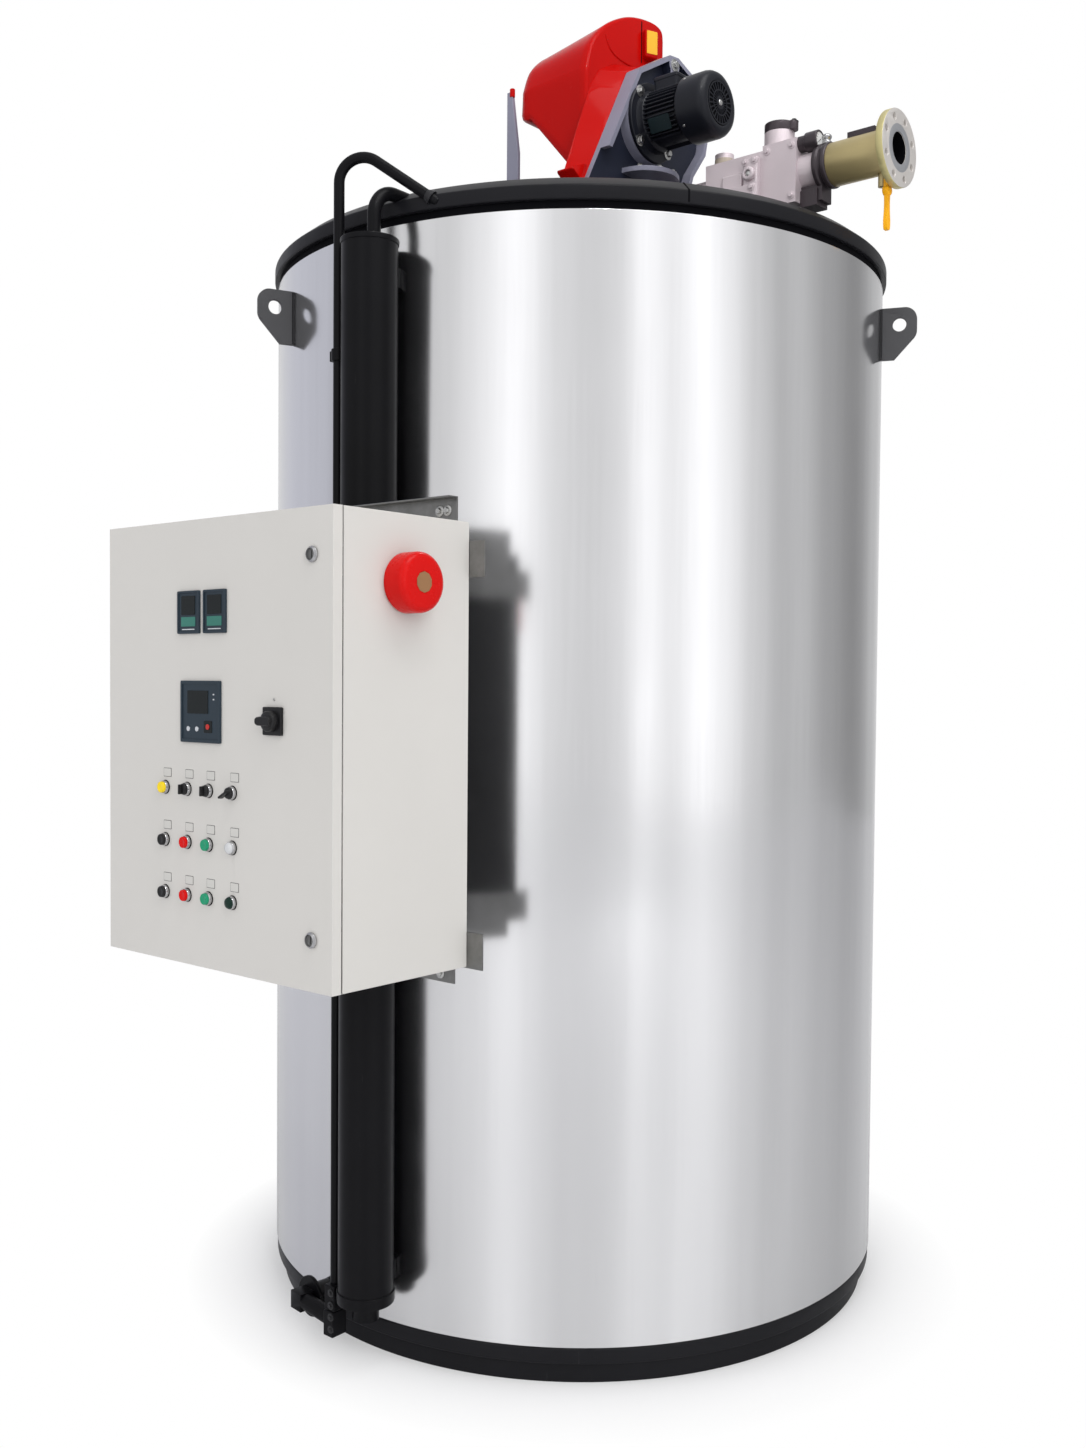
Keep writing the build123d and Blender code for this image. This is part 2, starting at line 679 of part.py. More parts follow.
def burner_parts():
    z = lid_z + burner_flange_thickness
    neck = rod(burner_flange_diameter, burner_flange_thickness, (0, 0, lid_z))
    neck += rod(burner_neck_diameter, burner_neck_height - burner_flange_thickness, (0, 0, z))
    half = burner_body_size / 2
    neck += block(-half, half, -half, half, lid_z + burner_neck_height, lid_z + burner_body_height)
    save("burner_neck", neck)
    hood = hood_shell()
    depth, width, height = label_boss
    middle = lid_z + label_boss_height
    hood += block(hood_face_x, hood_face_x + depth, label_boss_y - width / 2, label_boss_y + width / 2,
                  middle - height / 2, middle + height / 2)
    save("burner_hood", hood)
    ends = [cross_face(band_back_outline, hood_face_x), cross_face(band_front_outline, band_front_x)]
    save("red_side_band", loft(ends, ruled=True) - hood)
    front = hood_left_curve[0][0]
    left = hood_left_x - post_left
    foot = burner_flange_thickness
    post = ((left, foot), (left, post_top_height), (left + post_top_width, post_top_height),
            (left + post_foot_width, post_taper_height), (left + post_foot_width, foot))
    strip = make_face(Plane.XZ.offset(-front) * Polyline(*lifted(post), close=True))
    save("burner_post", extrude(strip, post_thickness, dir=(0, -1, 0)))


def fan_casting():
    """The fan housing's plate, its raised rim, the pad under the motor, the bolted arm and the air intake."""
    casting = slab(fan_outline, band_front_x, fan_face_x)
    raised = slab(fan_outline, fan_face_x, motor_face_x)
    inner = offset(cross_face(fan_outline, fan_face_x), -fan_rim_width)
    raised -= extrude(inner, fan_rim_depth, dir=(1, 0, 0))
    top = lid_z + fan_rim_foot
    casting += raised & block(fan_face_x, motor_face_x, -burner_body_size, casing_radius, top, top + casing_radius)
    casting += rod(motor_flange_diameter, fan_rim_depth, (fan_face_x, 0, motor_axis_z), "x")
    diameter, y, height = fan_bolt_boss
    casting += rod(diameter, fan_rim_depth, (fan_face_x, y, lid_z + height), "x")
    casting += block(fan_face_x, motor_face_x, y - fan_strut_width / 2, y + fan_strut_width / 2, motor_axis_z,
                     lid_z + height)
    z = lid_z + intake_height
    casting += rod(intake_diameter, intake_thickness, (fan_face_x, intake_centre_y, z), "z")
    foot = lid_z + fan_outline[-1][1]
    casting += rod(intake_neck_diameter, z - foot, (fan_face_x, intake_centre_y, foot), "z")
    back = block(-burner_body_size, band_front_x, -burner_body_size, burner_body_size, lid_z, casing_radius + lid_z)
    save("fan_casting", casting - back)


def motor_parts():
    x = motor_face_x
    flange = rod(motor_flange_diameter, motor_flange_thickness, (x, 0, motor_axis_z), "x")
    x += motor_flange_thickness
    core = motor_body_diameter - 2 * motor_fin_depth
    body = rod(core, motor_length, (x, 0, motor_axis_z), "x")
    fin = block(x, x + motor_length, -motor_fin_thickness / 2, motor_fin_thickness / 2, 0, motor_body_diameter / 2)
    body += [Pos(0, 0, motor_axis_z) * Rot(360 / motor_fin_count * i, 0, 0) * fin for i in range(motor_fin_count)]
    length, width, height = terminal_box_size
    foot = motor_axis_z + motor_body_diameter / 2
    box = block(x + terminal_box_offset, x + terminal_box_offset + length, -width / 2, width / 2,
                motor_axis_z, foot + height)
    save("motor_body", flange + body + box)
    x += motor_length
    cowl = rod(motor_diameter, cowl_length, (x, 0, motor_axis_z), "x")
    save("motor_cowl", fillet(cowl.edges().sort_by(Axis.X)[-1], cowl_fillet))


def on_gas_axis(diameter, length, x):
    return rod(diameter, length, (x, gas_axis_y, gas_axis_z), "x")


def gas_block():
    """The valve block: a low body, a taller head at its outlet end and a plug boss at its inlet end."""
    y0 = gas_axis_y - gas_block_width / 2
    y1 = gas_axis_y + gas_block_width / 2
    head_x = gas_block_x1 - gas_head_length
    body = block(gas_block_x0, head_x, y0, y1, gas_axis_z + gas_block_low, gas_axis_z + gas_block_high)
    body += block(head_x, gas_block_x1, y0, y1, gas_axis_z + gas_head_low, gas_axis_z + gas_head_high)
    boss_x = gas_block_x1 - gas_boss_back
    boss_z = gas_axis_z + gas_head_high
    body += rod(gas_boss_diameter, gas_boss_height + gas_head_high - gas_block_high,
                (boss_x, gas_axis_y, gas_axis_z + gas_block_high))
    plug = (gas_block_x0 + plug_diameter / 2, gas_axis_y, gas_axis_z + gas_block_high)
    body += rod(plug_diameter, plug_height, plug)
    body += on_gas_axis(outlet_diameter, outlet_length, gas_block_x1)
    save("gas_block", body)
    top = boss_z + gas_boss_height
    cap = rod(gas_boss_diameter, gas_cap_height, (boss_x, gas_axis_y, top))
    ear = rod(gas_cap_ear, gas_cap_height, (boss_x + gas_boss_diameter / 2, gas_axis_y, top))
    save("gas_boss_cap", cap + ear)


def gas_parts():
    flange = on_gas_axis(gas_flange_diameter, gas_flange_thickness, gas_flange_back)
    flange -= on_gas_axis(gas_bore, gas_flange_thickness + 2 * overcut, gas_flange_back - overcut)
    for i in range(gas_bolt_count):
        angle = radians(360 / gas_bolt_count * (i + 0.5))
        y = gas_axis_y + gas_bolt_circle / 2 * cos(angle)
        z = gas_axis_z + gas_bolt_circle / 2 * sin(angle)
        flange -= rod(gas_bolt_hole, gas_flange_thickness + 2 * overcut, (gas_flange_back - overcut, y, z), "x")
    save("gas_flange", flange)
    sleeve = on_gas_axis(gas_sleeve_diameter, gas_sleeve_length, sleeve_x)
    length, width, height = sleeve_bar
    bar_top = gas_axis_z + gas_sleeve_diameter / 2 + height
    middle = sleeve_x + gas_sleeve_length / 2
    sleeve += block(middle - length / 2, middle + length / 2, gas_axis_y - width / 2, gas_axis_y + width / 2,
                    gas_axis_z, bar_top)
    save("gas_sleeve", sleeve - on_gas_axis(gas_bore, gas_sleeve_length + 2 * overcut, sleeve_x - overcut))
    gas_block()
    coupling = on_gas_axis(union_diameter, union_length, union_x)
    y = gas_axis_y - gauge_drop
    gauge = rod(gauge_diameter, gauge_length, (gas_block_x1, y, gas_axis_z + gauge_rise), "x")
    length, width, height = switch_box
    z = gas_axis_z - outlet_diameter / 2
    box = block(gas_block_x1, gas_block_x1 + length, gas_axis_y - width / 2, gas_axis_y + width / 2, z - height, z)
    save("gas_nipple", coupling + Compound([gauge - on_gas_axis(outlet_diameter, outlet_length, gas_block_x1), box]))
    save("gas_inlet_pipe", on_gas_axis(gas_inlet_diameter, gas_block_x0 - fan_face_x, fan_face_x))
    valve_z = gas_axis_z - gas_sleeve_diameter / 2 - lever_drop
    cock = rod(cock_diameter, gas_sleeve_diameter / 2 + lever_drop + cock_tail,
               (lever_x, gas_axis_y, valve_z - cock_tail))
    save("gas_cock", cock - on_gas_axis(gas_sleeve_diameter, gas_sleeve_length, sleeve_x))
    x = lever_x + cock_diameter / 2 + running_gap
    hub = rod(lever_width, lever_thickness, (x, gas_axis_y, valve_z), "x")
    half = lever_width / 2 * lever_taper
    arm = block(x, x + lever_thickness, gas_axis_y - half, gas_axis_y + half, valve_z - lever_length, valve_z)
    save("gas_lever", hub + arm)


def radial(diameter, reach, angle, z):
    """A round bar standing out of the casing along a radius, from the axis to its reach beyond the casing."""
    return rod_along(diameter, casing_radius + reach, (0, 0, z), polar(1, angle))


def back_connection(diameter, bore, flange_diameter, flange_thickness, reach, angle, z):
    flange = radial(flange_diameter, reach, angle, z)
    flange -= radial(flange_diameter + 2 * overcut, reach - flange_thickness, angle, z)
    return radial(diameter, reach, angle, z) + flange - radial(bore, reach + overcut, angle, z) - drum()


def back_parts():
    save("flue_outlet", back_connection(flue_diameter, flue_diameter - 2 * flue_wall, flue_flange_diameter,
                                        flue_flange_thickness, flue_reach, flue_angle, casing_top - flue_drop))
    pair = [back_connection(process_pipe_diameter, process_bore, process_flange_diameter,
                            process_flange_thickness, process_reach, process_angle, casing_top - drop)
            for drop in process_drops]
    save("process_flanges", Compound(pair))


def run():
    os.makedirs("parts", exist_ok=True)
    base_parts()
    casing_part()
    top_parts()
    lug_parts()
    header_parts()
    small_pipes()
    drain_parts()
    bracket_parts()
    cabinet_parts()
    siren_part()
    door_parts()
    hinge_parts()
    door_fittings()
    moving_controls()
    burner_parts()
    fan_casting()
    motor_parts()
    gas_parts()
    back_parts()


run()
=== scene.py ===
# %% [markdown]
# # An upright oil heater, dressed over its CAD frame
# The CAD model gives every solid its place and size. This lesson dresses it: each
# piece of plant gets the finish of the real thing, and the parts that a plain solid
# only hints at are built again as finished meshes in the same place.

# %% Load the frame
import json
import math
import bmesh
import bpy
from mathutils import Matrix, Vector

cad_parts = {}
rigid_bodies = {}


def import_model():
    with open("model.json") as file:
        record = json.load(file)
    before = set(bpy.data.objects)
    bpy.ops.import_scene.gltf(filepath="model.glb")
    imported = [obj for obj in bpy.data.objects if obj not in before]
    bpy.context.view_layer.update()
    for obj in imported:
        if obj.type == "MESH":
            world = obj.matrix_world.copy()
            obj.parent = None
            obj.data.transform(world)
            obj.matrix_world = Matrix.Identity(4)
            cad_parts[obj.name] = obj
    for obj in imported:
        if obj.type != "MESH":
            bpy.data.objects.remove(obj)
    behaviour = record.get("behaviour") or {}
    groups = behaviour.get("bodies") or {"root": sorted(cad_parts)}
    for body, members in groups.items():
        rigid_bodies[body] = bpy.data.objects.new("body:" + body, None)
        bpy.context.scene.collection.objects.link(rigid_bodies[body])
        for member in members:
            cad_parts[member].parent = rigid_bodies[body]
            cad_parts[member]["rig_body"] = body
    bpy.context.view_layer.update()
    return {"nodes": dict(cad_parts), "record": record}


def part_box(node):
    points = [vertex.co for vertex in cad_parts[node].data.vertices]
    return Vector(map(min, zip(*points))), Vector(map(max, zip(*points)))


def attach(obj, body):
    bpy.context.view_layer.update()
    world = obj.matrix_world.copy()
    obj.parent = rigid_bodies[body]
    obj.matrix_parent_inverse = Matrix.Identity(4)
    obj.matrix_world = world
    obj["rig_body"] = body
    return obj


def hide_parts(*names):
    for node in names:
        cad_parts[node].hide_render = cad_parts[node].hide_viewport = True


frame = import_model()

NODES = frame["nodes"]

# %% [markdown]
# ## The camera
# The photograph was taken from chest height, a few metres off the cabinet's right
# corner, with a normal lens held upright. Its place was worked out from the round
# rims of the casing and the corners of the cabinet. Three plain turns are easier to
# read and to correct than a tracking constraint.

# %% Camera
CAMERA_PLACE = (2.66268, -3.31763, 1.7377)
CAMERA_HEADING = 40.0965
CAMERA_TILT = 88.2467
CAMERA_ROLL = 0.4469
CAMERA_LENS = 34.354
SENSOR_WIDTH = 36.0
FAR_CLIP = 60.0


def placed(name, data):
    """A new object for some data, linked into the scene."""
    item = bpy.data.objects.new(name, data)
    bpy.context.scene.collection.objects.link(item)
    return item


camera_data = bpy.data.cameras.new("camera")
camera = placed("camera", camera_data)
camera_data.sensor_width = SENSOR_WIDTH
camera_data.lens = CAMERA_LENS
camera_data.clip_end = FAR_CLIP
stance = Matrix.Translation(CAMERA_PLACE)
for degrees, axis in ((CAMERA_HEADING, "Z"), (CAMERA_TILT, "X"), (CAMERA_ROLL, "Z")):
    stance = stance @ Matrix.Rotation(math.radians(degrees), 4, axis)
camera.matrix_world = stance
bpy.context.scene.camera = camera
bpy.context.scene.view_settings.view_transform = "Standard"
print("camera at", [round(c, 3) for c in camera.location])

# %% [markdown]
# ## Node helpers
# Every shader below is a handful of nodes. One function adds a node and fills its
# inputs, each with a plain value or with another node's output, and the few kinds
# that come up again and again have a short name of their own.


# %% Node helpers
def add(tree, kind, inputs=None, **settings):
    """Adds a node. Its settings are keywords, and its inputs go by name or number."""
    node = tree.nodes.new(kind)
    for name, value in settings.items():
        setattr(node, name, value)
    for socket, value in (inputs or {}).items():
        if isinstance(value, bpy.types.NodeSocket):
            tree.links.new(value, node.inputs[socket])
        else:
            node.inputs[socket].default_value = value
    return node


def noise(tree, vector, scale, detail, rough=0.55):
    values = {"Vector": vector, "Scale": scale, "Detail": detail, "Roughness": rough}
    return add(tree, "ShaderNodeTexNoise", values).outputs["Fac"]


def maths(tree, operation, a, b):
    return add(tree, "ShaderNodeMath", {0: a, 1: b}, operation=operation).outputs[0]


def product(tree, a, b):
    return maths(tree, "MULTIPLY", a, b)


def stretch(tree, value, low, high, to_low=0.0, to_high=1.0):
    """A clamped Map Range."""
    values = {"Value": value, "From Min": low, "From Max": high, "To Min": to_low, "To Max": to_high}
    return add(tree, "ShaderNodeMapRange", values).outputs["Result"]


def mix_colour(tree, amount, a, b, blend="MIX"):
    return add(tree, "ShaderNodeMix", {0: amount, 6: a, 7: b}, data_type="RGBA", blend_type=blend).outputs[2]


def scaled_vector(tree, vector, factors):
    return add(tree, "ShaderNodeVectorMath", {0: vector, 1: factors}, operation="MULTIPLY").outputs[0]


def object_place(tree):
    return add(tree, "ShaderNodeTexCoord").outputs["Object"]


def mix_shaders(tree, amount, a, b):
    return add(tree, "ShaderNodeMixShader", {"Fac": amount, 1: a.outputs[0], 2: b.outputs[0]})


# %% [markdown]
# ## Light
# The heater stands in a bright studio. A polished drum is a mirror of the room, and
# a round one squeezes the whole room into upright bands. So the world is painted
# with bands by bearing: tall softboxes, the gaps between them, and a darker wall on
# the right. Below the horizon they dim, as a softbox does towards its lower edge. The
# camera itself sees plain white. A few lamps add direction, so that round things look
# round. Only the two high ones show in gloss, where they catch the rounded edges. The
# upright ones would add stripes of their own to the bands.

# %% World
WORLD_LEVEL = 0.90
DIM_DEPTH = 0.40
DIM_LEVEL = 0.76
COOL_TINT = (0.93, 0.94, 1.04)
PLAIN_TINT = (0.99, 0.99, 1.0)
COOL_PAST = 149
# Each band is a bearing in degrees from +X and a level. The bearings past COOL_PAST, on either side, are cool.
BANDS = ((-180, 0.68), (-158, 0.66), (-150, 0.50), (-132, 0.72), (-113, 0.88), (-101, 0.76), (-90, 0.98),
         (-75, 1.38), (-58, 0.88), (-46, 0.80), (-37, 0.88), (-27, 1.34), (-18, 1.08), (-5, 1.40), (5, 1.12),
         (16, 0.78), (28, 0.58), (37, 0.66), (52, 0.44), (72, 0.32), (96, 0.60), (120, 0.95), (146, 0.80),
         (180, 0.70))

world = bpy.data.worlds.new("studio")
bpy.context.scene.world = world
world.use_nodes = True
sky = world.node_tree
sky.nodes.clear()
split = add(sky, "ShaderNodeSeparateXYZ", {0: add(sky, "ShaderNodeTexCoord").outputs["Generated"]})
bearing = maths(sky, "ARCTAN2", split.outputs["Y"], split.outputs["X"])
bands = add(sky, "ShaderNodeValToRGB", {"Fac": stretch(sky, bearing, -math.pi, math.pi)})
dimmed = stretch(sky, split.outputs["Z"], -DIM_DEPTH, 0.0, DIM_LEVEL * WORLD_LEVEL, WORLD_LEVEL)
studio = add(sky, "ShaderNodeBackground", {"Color": bands.outputs["Color"], "Strength": dimmed})
plain = add(sky, "ShaderNodeBackground", {"Color": (1, 1, 1, 1)})
seen = mix_shaders(sky, add(sky, "ShaderNodeLightPath").outputs["Is Camera Ray"], studio, plain)
add(sky, "ShaderNodeOutputWorld", {"Surface": seen.outputs[0]})
ramp = bands.color_ramp
ramp.interpolation = "EASE"
for bearing_deg, level in BANDS[1:-1]:
    ramp.elements.new((bearing_deg + 180) / 360)
for element, (bearing_deg, level) in zip(ramp.elements, BANDS):
    tint = COOL_TINT if abs(bearing_deg) > COOL_PAST else PLAIN_TINT
    element.position = (bearing_deg + 180) / 360
    element.color = (*(level * channel for channel in tint), 1)
print("world bands", len(ramp.elements))

# %% Lamps
# Each lamp is a name, its place, the point it faces, its width and height, its power in watts, and whether gloss
# shows it.
LAMPS = (("key", (5.3, -3.7, 3.4), (0.0, 0.0, 1.9), (1.0, 5.5), 95.0, False),
         ("fill", (-3.4, -5.4, 3.0), (0.0, 0.0, 1.6), (1.2, 4.5), 44.0, False),
         ("top", (2.6, -0.5, 6.6), (0.2, 0.0, 3.0), (2.6, 2.6), 60.0, True),
         ("edge", (2.6, -2.4, 6.4), (0.1, 0.0, 3.3), (0.5, 0.5), 26.0, True))
for name, place, target, (width, height), power, in_gloss in LAMPS:
    lamp_data = bpy.data.lights.new(name, "AREA")
    lamp_data.shape = "RECTANGLE"
    lamp_data.size = width
    lamp_data.size_y = height
    lamp_data.energy = power
    lamp = placed(name, lamp_data)
    lamp.visible_glossy = in_gloss
    lamp.location = place
    lamp.rotation_euler = (Vector(target) - Vector(place)).to_track_quat("-Z", "Y").to_euler()
print("lamps", len(LAMPS))

# %% [markdown]
# ## Shared shader groups
# Painted and cast surfaces differ in colour, but they vary in the same few ways: the
# tone drifts slowly, a fine grain catches the light, dust settles on what faces up,
# and handling leaves fine scratches. The pale mix on what faces up also stands for
# light from above, as painted top light on dark paint. One group makes all of that
# from Object coordinates, and each material sets its own amounts. Metals share a
# second group for drawn or rolled streaks.


# %% Group maker
def new_group(name, inputs):
    """A shader group with named inputs, each with a default, that puts out a colour, a roughness and a height."""
    group = bpy.data.node_groups.new(name, "ShaderNodeTree")
    for socket, kind, value in inputs:
        made = group.interface.new_socket(name=socket, in_out="INPUT", socket_type="NodeSocket" + kind)
        made.default_value = value
    for socket, kind in (("Colour", "Color"), ("Roughness", "Float"), ("Height", "Float")):
        group.interface.new_socket(name=socket, in_out="OUTPUT", socket_type="NodeSocket" + kind)
    return group, group.nodes.new("NodeGroupInput").outputs


# %% The group for painted and cast surfaces
# The pale colour of dust, which on up-facing faces is also painted top light.
DUST_AND_TOP_LIGHT_COLOUR = (0.62, 0.60, 0.56, 1)
WORN_COLOUR = (0.75, 0.75, 0.75, 1)
SCRATCH_STRETCH = (260.0, 260.0, 14.0)
DRIFT_SCALE = 2.3
PATCH_SCALE = 17.0
DUST_ROUGHNESS = 0.4
SKIN, given = new_group("surface skin", (
    ("Colour", "Color", (0.5, 0.5, 0.5, 1)), ("Roughness", "Float", 0.5), ("Tone", "Float", 0.1),
    ("Grain Scale", "Float", 400.0), ("Dust And Top Light", "Float", 0.1), ("Scratches", "Float", 0.1)))
place = object_place(SKIN)
drift = noise(SKIN, place, DRIFT_SCALE, 4.0)
grain = noise(SKIN, place, given["Grain Scale"], 2.0)
patch = noise(SKIN, place, PATCH_SCALE, 6.0, 0.70)
lines = noise(SKIN, scaled_vector(SKIN, place, SCRATCH_STRETCH), 1.0, 2.0)
shift = product(SKIN, stretch(SKIN, drift, 0.3, 0.7, -1.0, 1.0), given["Tone"])
toned = mix_colour(SKIN, 1.0, given["Colour"], maths(SKIN, "ADD", 1.0, shift), "MULTIPLY")
facing = add(SKIN, "ShaderNodeSeparateXYZ", {0: add(SKIN, "ShaderNodeNewGeometry").outputs["Normal"]})
# Up-facing faces, in patches, take the pale mix: partly real dust, partly painted light from above.
top_light_and_dust_mask = product(SKIN, stretch(SKIN, facing.outputs["Z"], 0.2, 1.0), stretch(SKIN, patch, 0.35, 0.7))
top_light_and_dust_amount = product(SKIN, top_light_and_dust_mask, given["Dust And Top Light"])
top_light_and_dust_colour = mix_colour(SKIN, top_light_and_dust_amount, toned, DUST_AND_TOP_LIGHT_COLOUR)
marks = product(SKIN, stretch(SKIN, lines, 0.68, 0.78), stretch(SKIN, patch, 0.5, 0.72))
marked = product(SKIN, marks, given["Scratches"])
rougher = maths(SKIN, "ADD", given["Roughness"], product(SKIN, top_light_and_dust_amount, DUST_ROUGHNESS))
add(SKIN, "NodeGroupOutput", {
    "Colour": mix_colour(SKIN, marked, top_light_and_dust_colour, WORN_COLOUR),
    "Roughness": maths(SKIN, "ADD", rougher, stretch(SKIN, patch, 0.3, 0.7, -0.04, 0.06)),
    "Height": maths(SKIN, "SUBTRACT", grain, marked)})
print("group", SKIN.name, len(SKIN.nodes))

# %% The group for drawn and rolled metal
CLOUD_SCALE = 1.7
STREAKS, given = new_group("metal streaks", (
    ("Colour", "Color", (0.7, 0.7, 0.7, 1)), ("Roughness", "Float", 0.3), ("Stretch", "Vector", (40.0, 40.0, 1.0)),
    ("Contrast", "Float", 0.1)))
place = object_place(STREAKS)
streak = noise(STREAKS, scaled_vector(STREAKS, place, given["Stretch"]), 1.0, 6.0, 0.7)
cloud = noise(STREAKS, place, CLOUD_SCALE, 3.0)
swing = product(STREAKS, stretch(STREAKS, streak, 0.3, 0.7, -1.0, 1.0), given["Contrast"])
clouded = maths(STREAKS, "ADD", given["Roughness"], stretch(STREAKS, cloud, 0.3, 0.7, -0.05, 0.05))
add(STREAKS, "NodeGroupOutput", {
    "Colour": mix_colour(STREAKS, 1.0, given["Colour"], maths(STREAKS, "ADD", 1.0, swing), "MULTIPLY"),
    "Roughness": maths(STREAKS, "SUBTRACT", clouded, product(STREAKS, swing, 0.5)),
    "Height": streak})
print("group", STREAKS.name, len(STREAKS.nodes))

# %% [markdown]
# ## Finishes
# A finish is one Principled shader fed by one of the two groups. A row of plain
# values is enough to describe each of them, and it keeps a paint's recipe together,
# as on a paint maker's card.


# %% Material makers
def start_material(name):
    material = bpy.data.materials.new(name)
    material.use_nodes = True
    return material, material.node_tree, material.node_tree.nodes["Principled BSDF"]


def new_finish(name, group, values, bump, distance, **own):
    """A material whose colour, roughness and normal come from a group. The rest are the shader's own numbers."""
    material, tree, shader = start_material(name)
    for socket, value in own.items():
        shader.inputs[socket.replace("_", " ")].default_value = value
    fed = add(tree, "ShaderNodeGroup", {}, node_tree=group)
    for socket, value in values.items():
        fed.inputs[socket].default_value = value
    relief = add(tree, "ShaderNodeBump", {"Strength": bump, "Distance": distance, "Height": fed.outputs["Height"]})
    for output, socket in ((fed.outputs["Colour"], "Base Color"), (fed.outputs["Roughness"], "Roughness"),
                           (relief.outputs["Normal"], "Normal")):
        tree.links.new(output, shader.inputs[socket])
    return material


# %% Metals
# Each is a finish, the slot it belongs to, a name, a colour, a roughness, a stretch, a contrast and a bump.
METALS = (
    ("stainless_sheet", "stainless_sheet", "rolled stainless", (0.84, 0.84, 0.85), 0.17, (14.0, 14.0, 0.35), 0.03, 0.0),
    ("galvanised", "galvanised", "zinc coat", (0.24, 0.24, 0.235), 0.40, (30.0, 30.0, 30.0), 0.14, 0.1),
    ("chrome_trim", "chrome_trim", "chrome", (0.50, 0.50, 0.51), 0.20, (60.0, 60.0, 60.0), 0.05, 0.04),
    ("screw_steel", "chrome_trim", "screw steel", (0.55, 0.55, 0.54), 0.30, (80.0, 80.0, 80.0), 0.10, 0.1))
METAL_RELIEF = 0.0003
FINISH = {}
for key, slot, name, colour, rough, stretched, contrast, bump in METALS:
    values = {"Colour": (*colour, 1), "Roughness": rough, "Stretch": stretched, "Contrast": contrast}
    FINISH[key] = new_finish(name, STREAKS, values, bump, METAL_RELIEF, Metallic=1.0)
print("metals", len(FINISH))
